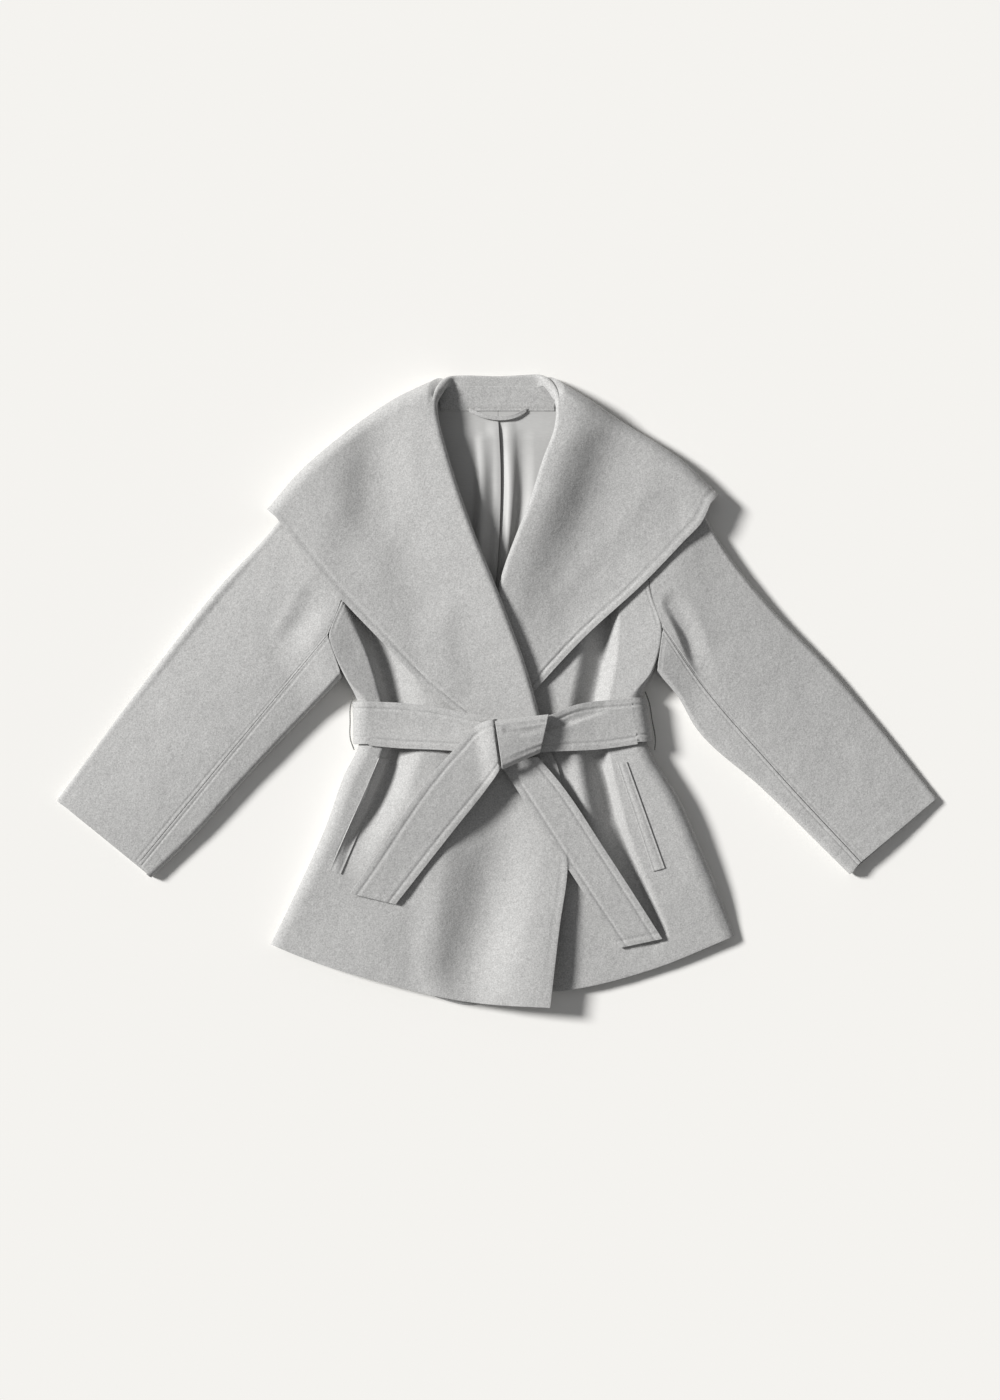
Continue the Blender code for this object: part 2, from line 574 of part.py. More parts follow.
def build_sleeves():
    for name, sign, side, armpit, top, low, seam in (
            ("left", -1, SIDE_LEFT, 5, SLEEVE_TOP_LEFT, SLEEVE_LOW_LEFT, SLEEVE_SEAM_LEFT),
            ("right", 1, SIDE_RIGHT, 5, SLEEVE_TOP_RIGHT, SLEEVE_LOW_RIGHT, SLEEVE_SEAM_RIGHT)):
        gap = np.array((sign * 6 * SEAM, 0.0))
        upper_hole = [top[0]] + [tuple(np.array(p) + gap) for p in side[1:armpit - 1]] + [seam[0]]
        whole_hole = upper_hole + [low[0]]
        s = np.linspace(0, 1, 10)[:, None]
        zero = 0 * s

        def height(x, y):
            return sleeve(x, y, sign)

        upper = coons(curve(upper_hole), curve((top[-1], seam[-1])), curve(top), curve(seam))
        lower = coons(curve((seam[0], low[0])), curve((seam[-1], low[-1])), curve(seam), curve(low))
        under = coons(curve(whole_hole), curve((top[-1], low[-1])), curve(top), curve(low))

        def folded(patch, start, reach):
            edge = patch(s, zero + start)[:, 0]
            inner = patch(s, zero + abs(start - 0.05))[:, 0]
            inward = unit(inner - edge)
            high = height(*(edge + inward * reach).T)
            return turned(edge, inward, reach, high, base(edge[:, 0], edge[:, 1]), 7)

        def spread(patch, first, last, count):
            return patch(s, np.linspace(0, 1, count) * (last - first) + first + zero)

        def width(patch):
            return np.linalg.norm(patch(s, zero + 1.0) - patch(s, zero), axis=-1)

        # The upper sleeve runs from the back seam over the upper fold to the front seam.
        start = SLEEVE_FOLD / width(under)
        bottom = lift(spread(under, start, BACK_SEAM, 3), base)[:, ::-1]
        turn = folded(under, 0.0, SLEEVE_FOLD)[:, ::-1]
        first = SLEEVE_FOLD / width(upper)
        face = lift(spread(upper, first, 1 - 3 * SEAM / width(upper), 7), height)
        grid = np.concatenate((bottom[:, :-1], turn, face[:, 1:]), axis=1)
        wall(f"sleeve_{name}_upper", grid, WOOL, flip=sign > 0)

        # The under sleeve runs from the front seam round the lower fold to the back seam.
        reach = SLEEVE_FOLD
        last = 1 - reach / np.maximum(width(lower), 2 * reach)
        face = lift(spread(lower, 3 * SEAM / np.maximum(width(lower), 9), last, 3), height)
        turn = folded(under, 1.0, reach)
        bottom = lift(spread(under, 1 - reach / width(under), BACK_SEAM + 2 * SEAM / width(under), 5),
                      base)
        grid = np.concatenate((face[:, :-1], turn, bottom[:, 1:]), axis=1)
        wall(f"sleeve_{name}_under", grid, WOOL, flip=sign > 0)


def strip(name, upper, lower, height, rows, columns, thickness, colour=GREY_WOOL, rough=0.9):
    """A strip between two edges that run the same way, on a height function."""
    u, v = np.meshgrid(np.linspace(0, 1, rows), np.linspace(0, 1, columns), indexing="ij")
    patch = lerp(curve(upper)(u), curve(lower)(u), v[..., None])
    grid = lift(patch, height)
    flip = grid_normals(grid)[..., 2].mean() < 0
    return wall(name, grid, thickness, colour, rough, flip)


def build_belt():
    for name, sign, upper, lower, side in (
            ("belt_left", -1, BELT_TOP_LEFT, BELT_LOW_LEFT, BELT_SIDE_LEFT),
            ("belt_right", 1, BELT_TOP_RIGHT, BELT_LOW_RIGHT, BELT_SIDE_RIGHT)):
        edge = curve(side)(np.linspace(0, 1, 4))
        inward = np.tile(np.array((-sign, 0.0)), (4, 1))
        u, v = np.meshgrid(np.linspace(0, 1, 4), np.linspace(0, 1, 11), indexing="ij")
        first = BELT_FOLD / BELT_LENGTH
        plan = lerp(curve(upper)(first + (1 - first) * v), curve(lower)(first + (1 - first) * v),
                    u[..., None])
        face = lift(plan, belt)
        turn = turned(edge, inward, BELT_FOLD, face[:, 0, 2], 0 * edge[:, 0], 8)[:, ::-1]
        wall(name, np.concatenate((turn, face[:, 1:]), axis=1), BELT, flip=sign > 0)
    inner = BELT_FOLD + 3.0
    strip("belt_back", ((-176.8 + inner, -14), (175.6 - inner, -9)),
          ((-176.8 + inner, -65), (183.6 - inner, -62)), lambda x, y: 0 * x + BELT, 5, 3, BELT)
    strip("belt_tail_left", TAIL_LEFT_UPPER, TAIL_LEFT_LOWER, tail(TAIL_LEFT_HEIGHT), 14, 4, BELT)
    strip("belt_tail_right", TAIL_RIGHT_LEFT, TAIL_RIGHT_RIGHT, tail(TAIL_RIGHT_HEIGHT), 14, 4,
          BELT)


def build_knot():
    """A band round the belt: a face with a crown, turned down at its upper and lower edges."""
    u = np.linspace(0, 1, 5)
    left, right = curve(KNOT_LEFT), curve(KNOT_RIGHT)
    ring = []
    for t in u:
        upper, lower = lerp(left(0.0), right(0.0), t), lerp(left(1.0), right(1.0), t)
        down = unit(lower - upper)
        line = [(*(upper + down * KNOT_TURN * (1 - math.cos(a))), KNOT_LOW + KNOT_RISE * math.sin(a))
                for a in np.linspace(0, math.pi / 2, 4)]
        middle = [(*lerp(upper, lower, k), KNOT_LOW + KNOT_RISE + 2 * math.sin(math.pi * k))
                  for k in (0.3, 0.5, 0.7)]
        after = [(*(lower - down * KNOT_TURN * (1 - math.cos(a))), KNOT_LOW + KNOT_RISE * math.sin(a))
                 for a in np.linspace(math.pi / 2, 0, 4)]
        ring.append(line + middle + after)
    grid = np.array(ring)
    wall("belt_knot", grid, BELT, flip=grid_normals(grid)[:, 5, 2].mean() < 0)


def tube(name, points, radius, sides=6):
    """A thread: a round tube along a smooth curve, with closed ends."""
    line = curve(points)(np.linspace(0, 1, 13))
    tangent = unit(np.gradient(line, axis=0))
    first = unit(np.cross(tangent, np.array((0.0, 0.0, 1.0))))
    second = np.cross(tangent, first)
    verts, faces = [], []
    for centre, a, b in zip(line, first, second):
        for k in range(sides):
            turn = 2 * math.pi * k / sides
            verts.append(centre + radius * (a * math.cos(turn) + b * math.sin(turn)))
    for i in range(len(line) - 1):
        for k in range(sides):
            n = (k + 1) % sides
            faces.append((i * sides + k, i * sides + n, (i + 1) * sides + n, (i + 1) * sides + k))
    faces.append(tuple(range(sides))[::-1])
    faces.append(tuple(range((len(line) - 1) * sides, len(line) * sides)))
    mesh = bpy.data.meshes.new(name)
    mesh.from_pydata([tuple(v * MM) for v in verts], [], faces)
    mesh.shade_smooth()
    mesh.materials.append(material(name, GREY_WOOL, 0.9))
    bpy.context.scene.collection.objects.link(bpy.data.objects.new(name, mesh))


def face_of(name):
    """Height of a built panel's outer face, read from its mesh."""
    mesh = bpy.data.objects[name].data
    tree = BVHTree.FromPolygons([v.co for v in mesh.vertices], [p.vertices for p in mesh.polygons])

    def height(x, y):
        hits = [tree.ray_cast((a * MM, b * MM, 1.0), (0, 0, -1))[0][2] / MM
                for a, b in zip(np.ravel(x), np.ravel(y))]
        return np.array(hits).reshape(np.shape(x))
    return height


def build_trim():
    tube("belt_loop_left", LOOP_LEFT, THREAD)
    tube("belt_loop_right", LOOP_RIGHT, THREAD)
    for name, (first, second), panel in (("pocket_welt_left", WELT_LEFT, "front_over"),
                                         ("pocket_welt_right", WELT_RIGHT, "front_under")):
        face = face_of(panel)
        strip(name, first, second, lambda x, y: face(x, y) + 1.4 + WELT, 12, 3, WELT)
    strip("neck_facing", ((-62, NECK_SEAM_Y), (58, NECK_SEAM_Y)), ((-60, 337), (58, 337)),
          lambda x, y: base(x, y) + WOOL + FACING + 0.5, 7, 3, FACING)
    line = [p[:2] for p in HANGER]
    heights = np.array([(p[0], p[2]) for p in HANGER], float)
    half = HANGER_WIDTH / 2
    strip("hanger_loop", [(x, y + half) for x, y in line], [(x, y - half) for x, y in line],
          lambda x, y: hermite(heights[:, 0], heights[:, 1], np.clip(x, -37, 32)), 9, 2,
          HANGER_WALL)


def build_lining():
    ys = np.linspace(335, 112, 12)
    pleat = x_on(PLEAT)(ys)
    left = [(x, y) for x, y in zip(roll_left(ys) - 26, ys)]
    right = [(x, y) for x, y in zip(np.maximum(roll_right(ys) + 22, pleat + 12), ys)]
    middle_left = [(x - SEAM / 2, y) for x, y in zip(pleat, ys)]
    middle_right = [(x + SEAM / 2, y) for x, y in zip(pleat, ys)]
    strip("lining_left", left, middle_left, lining, 12, 7, SATIN, GREY_SATIN, 0.35)
    strip("lining_right", middle_right, right, lining, 12, 7, SATIN, GREY_SATIN, 0.35)


def main():
    for thing in list(bpy.data.objects):
        bpy.data.objects.remove(thing)
    for build in (build_fronts, build_back, build_collar, build_sleeves, build_belt, build_knot,
                  build_trim, build_lining):
        build()


main()
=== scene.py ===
"""Look of a wrap coat laid flat: every piece of cloth as a fine shell on the form of its solid,
with seams, topstitching and creases, and procedural felted wool and satin.
"""

import math

import bpy
import numpy as np
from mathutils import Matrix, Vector
from mathutils.bvhtree import BVHTree


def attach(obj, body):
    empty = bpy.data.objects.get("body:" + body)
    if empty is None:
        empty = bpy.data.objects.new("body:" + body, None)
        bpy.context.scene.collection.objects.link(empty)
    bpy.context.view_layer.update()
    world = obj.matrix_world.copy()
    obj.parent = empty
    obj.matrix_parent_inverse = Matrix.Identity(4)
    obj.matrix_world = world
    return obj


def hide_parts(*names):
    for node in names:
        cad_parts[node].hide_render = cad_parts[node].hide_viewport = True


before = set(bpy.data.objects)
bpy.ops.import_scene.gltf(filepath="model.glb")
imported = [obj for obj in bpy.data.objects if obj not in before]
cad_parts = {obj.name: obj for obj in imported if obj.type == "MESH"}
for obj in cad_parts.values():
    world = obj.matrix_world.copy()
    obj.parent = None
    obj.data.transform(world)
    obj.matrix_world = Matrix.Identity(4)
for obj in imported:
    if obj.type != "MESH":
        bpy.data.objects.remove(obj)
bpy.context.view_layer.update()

MM = 0.001                # metres in a millimetre
WOOL = 2.2                # wall of one layer of felted wool
COLLAR = 2.6              # wall of the collar, two layers sewn together
BELT = 2.4                # wall of the belt
SATIN = 0.8               # wall of the lining
SEAM = 0.3                # gap between pieces sewn edge to edge
LAYER = 1.6               # gap between layers that lie on each other
FOLD = 16.0               # how far a side fold reaches in under the coat
SEAM_TURN = 2.0           # how far a front turns under at its armhole seam
SEAM_DROP = 3.0           # and how far down
SHOULDER_TURN = 6.0       # how far the back turns up at its shoulders
SHOULDER_FOLD = 15.0      # how far the collar's fold over the shoulder reaches
BELT_FOLD = 19.0          # how far the belt turns in under its sides
SLEEVE_FOLD = 7.0         # how far a sleeve turns in at its folds
BACK_SEAM = 0.35          # place of a sleeve's back seam across its underside
KNOT_LOW = 51.2           # height of the rim of the knot's band
WELT = 1.5                # wall of a pocket welt
FACING = 1.8              # wall of the neck facing
ROLL_FRONT = 6.0          # radius of the collar's roll along the fronts
ROLL_BACK = 3.6           # radius of the collar's roll behind the neck
STAND = 20.0              # depth of the collar's stand behind its roll
UNDER_LIFT = 3.6          # how much the coat is raised where the collar lies under its back
BELT_LIFT = 3.2           # how much it is raised where the belt runs under its back
SLEEVE_WIDTH = 165.0      # width of a sleeve laid flat, by its top
BELT_LENGTH = 185.0       # length of one side of the belt, from side to knot
BELT_GAP = 1.0            # gap between the belt and what it lies on
TIP_INSET = 17.0          # how far the panels stay down from the shoulder tips
HEM_FLARE = 13.0          # rise of the free edge at the hem
UNDER_DROP = 8.0          # how much lower the hidden part of the front beneath lies
KNOT_RISE = 10.0          # height of the knot's face over its rims
KNOT_TURN = 7.0           # how far the knot's rims turn in
THREAD = 0.8              # radius of a thread loop
HANGER_WIDTH = 5.0        # width of the hanger loop
HANGER_WALL = 1.2         # its wall
OVER_LIFT = WOOL + LAYER + 0.8  # how much the upper front is raised over the other
STAND_EDGE = STAND + 8.0  # how far beyond the roll a front ends under the collar
WRAP_FULL = 84.0          # how far below the armpit a side fold has its full reach
WRAP_END = 52.0           # and where it has narrowed to the turn at the armhole seam
SLEEVE_FOLD_TALL = 0.74   # height at a sleeve's folds, as a share of its crown
SLEEVE_TILT = 0.4         # rise across a sleeve, from its top to its low edge
ARMHOLE_END = 4           # points of a side outline down to the armpit
KNOT_LEAN = (-1.0, -8.0)  # rise of the knot's band at its left and at its right
LAP_OVER = 2.4            # rise of the lining's left half at the pleat
LAP_UNDER = 1.5           # drop of its right half there
LINING_LIFT = 4.6         # how far the lining stands off the back below the facing
THREAD_TURNS = 12         # turns of a thread loop's two plies
SOFT_EDGE = 0.45          # rounding of a cut edge, as a share of its wall
LEAST_SIDE = 0.0102       # least side of a sheet, in metres
LEAST_SHARE = 0.31        # least area of a sheet, as a share of its two sides

# Stitched lines: distance from the edge, width and depth.
STITCH_IN = 8.6
FREE_STITCH = (7.5, 0.9, 0.55)
HEM_STITCH = (30, 1.4, 0.3)
ARMHOLE_STITCH = (3.0, 1.0, 0.6)
COLLAR_STITCH = (STITCH_IN, 1.2, 1.0)
BELT_STITCH = (STITCH_IN, 1.1, 0.9)
KNOT_STITCH = (16, 1.3, 0.9)
FELLED_STITCH = (4.0, 1.0, 0.5)
CUFF_STITCH = (26, 1.4, 0.35)
SLEEVE_STITCH = (4.2, 0.9, 0.5)
STRIP_STITCH = 1.5        # width of the stitched lines on strips

# Points of the fine grids: along and across each piece.
FRONT_GRID = (172, 116)
BACK_GRID = (140, 90)
LAPEL_GRID = (125, 74)
NECK_ROWS = 44
SLEEVE_ROWS = 150
BELT_GRID = (44, 120)
TAIL_GRID = (150, 50)
LINING_GRID = (150, 70)

# Light, floor and camera.
FLOOR_COLOUR = (0.92, 0.91, 0.885, 1)
FLOOR_HALF = 30           # half the floor's width, in metres
FLOOR_Z = -0.0005
SUN_POWER = 4.55
SUN_ANGLE = 13            # degrees that the sun spans
SUN_RISE = 33             # degrees over the floor
SUN_HEADING = (0.94, -0.34)
SUN_COLOUR = (1.0, 0.995, 0.985)
SKY_POWER = 0.2
SKY_COLOUR = (0.985, 0.99, 1.0, 1)
CAMERA_LENS = 100
CAMERA_SENSOR = 36
CAMERA_PLACE = (0, -0.012, 4.69)

# Outlines in plan, x and y.
SIDE_LEFT = ((-186, 303), (-180, 228), (-182, 156), (-189, 112), (-205, 66), (-187, 18),
             (-172, -12), (-170, -66), (-187, -102), (-211, -168), (-241, -234), (-276, -306))
SIDE_RIGHT = ((186, 300), (180, 228), (177, 156), (180, 122), (194, 74), (186, 30),
              (170, -10), (178, -66), (216, -132), (240, -186), (262, -240), (282, -296))
ARMPIT = (66, 74)         # y of the left and the right armpit
HEM_OVER = ((-276, -306), (-240, -321), (-144, -351), (-36, -375), (60, -381))
HEM_UNDER = ((-60, -356), (20, -366), (88, -360), (180, -337), (282, -296))
HEM_BACK = ((-258, -310), (-200, -332), (-120, -354), (-30, -379), (-22, -378), (60, -362),
            (170, -338), (264, -299))
FREE_EDGE_OVER = ((28, -34), (62, -76), (78, -150), (81, -214), (72, -280), (60, -381))
FREE_EDGE_UNDER = ((36, -34), (-48, -90), (-56, -200), (-60, -280), (-60, -356))
ROLL_LEFT = ((48, -34), (42, -12), (30, 30), (12, 78), (-4, 120), (-24, 168), (-44, 222),
             (-58, 264), (-71, 312), (-78, 348), (-76, 375))
ROLL_RIGHT = ((-14, -34), (-12, -12), (-10, 30), (-8, 78), (-1, 128), (19, 186), (36, 229),
              (55, 289), (65, 311), (68, 344), (68, 375))
COLLAR_LEFT = ((-32, -40), (-100, 14), (-136, 52), (-193, 112), (-240, 168), (-280, 217))
COLLAR_RIGHT = ((12, -34), (104, 66), (175, 131), (220, 178), (243, 203), (263, 235))
SHOULDER_LEFT = ((-76, 375), (-107, 361), (-193, 304), (-246, 257), (-280, 217))
SHOULDER_RIGHT = ((68, 375), (83, 366), (139, 328), (222, 274), (263, 235))
NECK_TOP = ((-62, 379), (-40, 379.5), (0, 378), (30, 380), (50, 381))
NECK_LEFT = ((-77, 358), (-62, 379))      # the roll beside the neck, above and beneath
NECK_RIGHT = ((69, 358), (50, 381))
SLEEVE_TOP_LEFT = ((-190, 286), (-216, 262), (-247, 230), (-271, 197), (-338, 124), (-430, 7),
                   (-534, -133))
SLEEVE_TOP_RIGHT = ((189, 284), (212, 260), (238, 228), (255, 194), (322, 104), (391, 32),
                    (526, -130))
SLEEVE_LOW_LEFT = ((-189, 16), (-289, -88), (-380, -188), (-420, -226))
SLEEVE_LOW_RIGHT = ((188, 22), (214, -8), (234, -43), (316, -119), (421, -222))
SLEEVE_SEAM_LEFT = ((-206.5, 66), (-320, -70), (-434, -208))
SLEEVE_SEAM_RIGHT = ((195.5, 74), (232, 20), (330, -95), (434, -207))

# Heights of the fronts' outer face: y, then from the left side to the right side.
FORM = (
    # y, left, left middle, middle, right middle, right
    (385, 17, 18, 18, 18, 17),
    (300, 19, 21, 20, 20, 19),
    (200, 22, 22, 19, 21, 23),
    (120, 27, 21, 18, 20, 26),
    (66, 34, 19, 17, 20, 31),
    (10, 33, 19, 17, 21, 29),
    (-38, 28, 22, 19, 22, 27),
    (-90, 30, 25, 21, 25, 29),
    (-150, 28, 26, 22, 22, 28),
    (-230, 21, 24, 20, 18, 22),
    (-300, 13, 20, 17, 13, 13),
    (-385, 9, 14, 15, 12, 9),
)

# Height of a sleeve's crown by the share along it, from armhole to cuff.
SLEEVE_HEIGHT = ((-0.3, 27), (0, 27), (0.25, 25), (0.6, 20), (1, 14), (1.2, 13))

# Edges of the belt and its tails, and heights of their outer faces along them.
BELT_SIDE_LEFT = ((-176.8, -14), (-176.8, -65))
BELT_SIDE_RIGHT = ((175.6, -9), (183.6, -62))
BELT_TOP_LEFT = ((-176.8, -14), (-150, -14), (-84, -19), (-36, -28), (12, -34))
BELT_LOW_LEFT = ((-176.8, -65), (-120, -70), (-72, -72), (-44, -74), (12, -78))
BELT_TOP_RIGHT = ((175.6, -9), (132, -12), (90, -18), (60, -30), (13, -36))
BELT_LOW_RIGHT = ((183.6, -62), (120, -71), (58, -74), (13, -78))
BELT_HEIGHT = ((-175, 31), (-120, 33), (-70, 38), (-20, 42), (12, 43), (45, 42), (80, 38),
               (120, 34), (182, 30))
KNOT_LEFT = ((-6, -36), (-2, -66), (3, -95))
KNOT_RIGHT = ((58, -29), (55, -52), (48, -75))
TAIL_LEFT_UPPER = ((2, -33), (-22, -39), (-52, -68), (-180, -244))
TAIL_LEFT_LOWER = ((4, -89), (-8, -107), (-60, -174), (-125, -257))
TAIL_RIGHT_LEFT = ((0, -88), (20, -119), (80, -212), (144, -310))
TAIL_RIGHT_RIGHT = ((45, -80), (66, -104), (130, -198), (195, -299))
TAIL_LEFT_HEIGHT = ((33, 50.5), (90, 50), (132, 46), (190, 36), (257, 28))
TAIL_RIGHT_HEIGHT = ((80, 39), (100, 37), (132, 36), (190, 32), (240, 28), (305, 17))
WELT_LEFT = (((-145, -82), (-204, -216)), ((-132, -82), (-191, -221)))
WELT_RIGHT = (((140, -86), (184, -218)), ((152, -86), (198, -214)))
PLEAT = ((-2, 330), (1, 269), (-1, 178), (-7, 100))
HANGER = ((-37, 337, 10.0), (-20, 330, 12.0), (-2, 327, 12.5), (16, 329, 12.5), (32, 337, 10.0))
LOOP_LEFT = ((-176.4, -7, 14), (-179.6, -18, 15), (-180.2, -38, 15), (-179.6, -60, 15),
             (-175.4, -72, 14))
LOOP_RIGHT = ((174.6, -2, 14), (179, -14, 15), (182.8, -36, 15), (186.8, -62, 15),
              (186, -72, 14))

# Folds of the fronts: start, middle and end, half widths on either side, and rises at the three.
FOLDS = (
    # panel, start, middle, end, left width, right width, rises
    ("over", (-176, 106), (-150, 50), (-128, -22), 13, 40, (-14, -19, -17)),
    ("over", (-124, -60), (-148, -126), (-184, -196), 14, 36, (-18, -18, -5)),
    ("over", (4, -150), (-14, -240), (-38, -330), 60, 62, (-5, -10, -10)),
    ("over", (-104, -98), (-96, -140), (-110, -200), 30, 60, (4, 4, 2)),
    ("under", (126, 98), (123, 44), (110, -22), 30, 19, (-15, -18, -16)),
    ("under", (120, -80), (142, -170), (190, -286), 34, 12, (-15, -14, -6)),
    ("under", (96, -76), (106, -130), (124, -190), 26, 20, (5, 6, 1)),
    ("lapel_left", (-140, 352), (-150, 240), (-180, 160), 44, 50, (-3, -4, -3)),
    ("lapel_left", (-60, 120), (-72, 70), (-60, 10), 40, 30, (0, 3, 2)),
    ("lapel_right", (200, 210), (150, 150), (90, 90), 40, 40, (-3, -4, -2)),
    ("sleeve_left", (-222, 112), (-238, 84), (-264, 48), 22, 30, (-2, -5, -1)),
    ("sleeve_right", (204, 100), (222, 66), (237, 28), 10, 26, (-3, -7, -2)),
    ("tail_left", (-9, -30), (-5, -66), (0, -104), 26, 4, (7, 8, 6)),
    ("lining", (-20, 300), (-21, 230), (-26, 140), 13, 14, (2, 7, 5)),
    ("lining", (12, 318), (13, 240), (7, 150), 12, 10, (1, 4, 3)),
    ("lining", (27, 305), (27, 240), (18, 160), 11, 15, (-1, -4, -3)),
)

# Heights of the lapels' outer face: y, then by the distance across from the roll.
LAPEL_SPREAD = (0, 45, 95, 150, 230)
RIGHT_SPREAD = (0, 22, 74, 140, 230)
LAPEL_LEFT = (
    # y, roll, near, middle, far, edge
    (375, 32, 31, 30, 29, 26),
    (300, 41, 35, 29, 32, 27),
    (222, 45, 37, 29, 33, 28),
    (120, 45, 38, 31, 33, 29),
    (30, 42, 37, 32, 32, 29),
    (-40, 37, 34, 31, 29, 28),
)
LAPEL_RIGHT = (
    # y, roll, near, middle, far, edge
    (375, 32, 32, 30, 30, 31),
    (300, 42, 43, 29, 28, 28),
    (229, 43, 44, 28, 28, 28),
    (150, 38, 38, 28, 29, 29),
    (78, 29, 30, 28, 30, 31),
    (30, 23, 25, 27, 29, 29),
    (-40, 20, 21, 23, 26, 26),
)

# Creases pressed into the belt and its knot: piece, start, middle, end, half widths on either
# side, and rises.
CREASES = (
    ("belt_right", (58, -46), (90, -36), (124, -24), 5, 15, (-4.5, -3.2, -0.8)),
    ("belt_left", (-160, -40), (-110, -44), (-60, -50), 16, 20, (-0.5, -0.9, -0.5)),
    ("belt_knot", (8, -48), (28, -50), (52, -44), 7, 7, (-1.5, -1.5, -0.8)),
)


# ---------------------------------------------------------------- curves and patches

def lerp(a, b, t):
    return a + (b - a) * t


def step(a, b, x):
    """Smooth step from 0 at a to 1 at b."""
    t = np.clip((np.asarray(x, float) - a) / (b - a), 0, 1)
    return t * t * (3 - 2 * t)


def over(height, support, blend=1.5):
    """The greater of two heights, with a rounded change from one to the other."""
    return 0.5 * (height + support + np.sqrt((height - support) ** 2 + blend ** 2))


def hermite(knots, values, t):
    """Smooth interpolation at t through values given at rising knots."""
    slopes = np.gradient(values, knots, axis=0)
    k = np.clip(np.searchsorted(knots, t, side="right") - 1, 0, len(knots) - 2)
    width = (knots[k + 1] - knots[k])
    f = np.clip((t - knots[k]) / width, 0, 1)
    if values.ndim > 1:
        width, f = width[..., None], f[..., None]
    return (values[k] * (1 + 2 * f) * (1 - f) ** 2 + values[k + 1] * (3 - 2 * f) * f ** 2
            + width * (slopes[k] * f * (1 - f) ** 2 - slopes[k + 1] * f ** 2 * (1 - f)))


def curve(points):
    """Smooth curve through points: a function of 0 to 1 along it."""
    points = np.array(points, float)
    chords = np.r_[0, np.cumsum(np.linalg.norm(np.diff(points, axis=0), axis=1))]
    return lambda t: hermite(chords / chords[-1], points, np.asarray(t, float))


def x_on(points):
    """x of an outline as a function of y."""
    line = curve(points)(np.linspace(0, 1, 200))
    order = np.argsort(line[:, 1])
    return lambda y: np.interp(y, line[order, 1], line[order, 0])


def coons(top, bottom, left, right):
    """Patch between four curves: s runs from top to bottom and w from left to right."""
    def at(s, w):
        s, w = np.broadcast_arrays(np.asarray(s, float), np.asarray(w, float))
        t, b = s[..., None], w[..., None]
        corners = lerp(lerp(top(0.0), top(1.0), b), lerp(bottom(0.0), bottom(1.0), b), t)
        return lerp(top(w), bottom(w), t) + lerp(left(s), right(s), b) - corners
    return at


def table_height(rows, spread, y, across):
    """Height from a table whose rows go by y and whose columns go by the distance across."""
    rows = np.array(sorted(rows), float)
    columns = hermite(rows[:, 0], rows[:, 1:], np.clip(y, rows[0, 0], rows[-1, 0]))
    spread = np.array(spread, float)
    across = np.clip(across, spread[0], spread[-1])
    k = np.clip(np.searchsorted(spread, across, side="right") - 1, 0, len(spread) - 2)
    slopes = np.gradient(columns, spread, axis=-1)
    width = spread[k + 1] - spread[k]
    f = (across - spread[k]) / width

    def pick(values, index):
        return np.take_along_axis(values, index[..., None], axis=-1)[..., 0]

    swing = pick(slopes, k) * f * (1 - f) ** 2 - pick(slopes, k + 1) * f ** 2 * (1 - f)
    return (pick(columns, k) * (1 + 2 * f) * (1 - f) ** 2
            + pick(columns, k + 1) * (3 - 2 * f) * f ** 2 + width * swing)


def along_x(table, x):
    """Height from a table of two columns, held beyond its ends."""
    table = np.array(table, float)
    return hermite(table[:, 0], table[:, 1], np.clip(x, table[0, 0], table[-1, 0]))


def fold_rise(x, y, start, middle, end, left, right, rises):
    """Rise of one fold: a soft trough or ridge along a curved line."""
    line = curve((start, middle, end))(np.linspace(0, 1, 25))
    heights = hermite(np.array((0.0, 0.5, 1.0)), np.array(rises, float), np.linspace(0, 1, 25))
    nearest = np.full(np.shape(x), 1e9)
    rise = np.zeros(np.shape(x))
    for k in range(len(line) - 1):
        a, d = line[k], line[k + 1] - line[k]
        t = np.clip(((x - a[0]) * d[0] + (y - a[1]) * d[1]) / (d @ d), 0, 1)
        ex, ey = x - a[0] - t * d[0], y - a[1] - t * d[1]
        gap = np.hypot(ex, ey)
        # Lines run down the coat, so the left of the coat is on their right-hand side.
        turn = (d[0] * ey - d[1] * ex) / (np.hypot(*d) * np.maximum(gap, 1e-6))
        width = lerp(left, right, 0.5 + 0.5 * turn)
        here = lerp(heights[k], heights[k + 1], t) * (0.5 + 0.5 * np.cos(
            np.pi * np.clip(gap / width, 0, 1)))
        rise = np.where(gap < nearest, here, rise)
        nearest = np.minimum(gap, nearest)
    return rise


# ---------------------------------------------------------------- heights

left_side, right_side = x_on(SIDE_LEFT), x_on(SIDE_RIGHT)
roll_left, roll_right = x_on(ROLL_LEFT), x_on(ROLL_RIGHT)
free_over = x_on(FREE_EDGE_OVER)


def base(x, y):
    """Height of what rests low: the surface, or the collar or belt lying under the back."""
    under_collar = step(135, 190, y)
    under_belt = step(-130, -88, y) * (1 - step(12, 50, y))
    return UNDER_LIFT * under_collar + BELT_LIFT * under_belt


def form(x, y):
    """Height of the fronts' outer face before folds."""
    left, right = left_side(y), right_side(y)
    return table_height(FORM, (0, 0.25, 0.5, 0.75, 1), y, (x - left) / (right - left))


def folds(x, y, panel):
    rows = [row[1:] for row in FOLDS if row[0] == panel]
    return sum(fold_rise(x, y, *row) for row in rows)


def roll_height(table, y):
    return table_height(table, LAPEL_SPREAD, y, 0 * y)


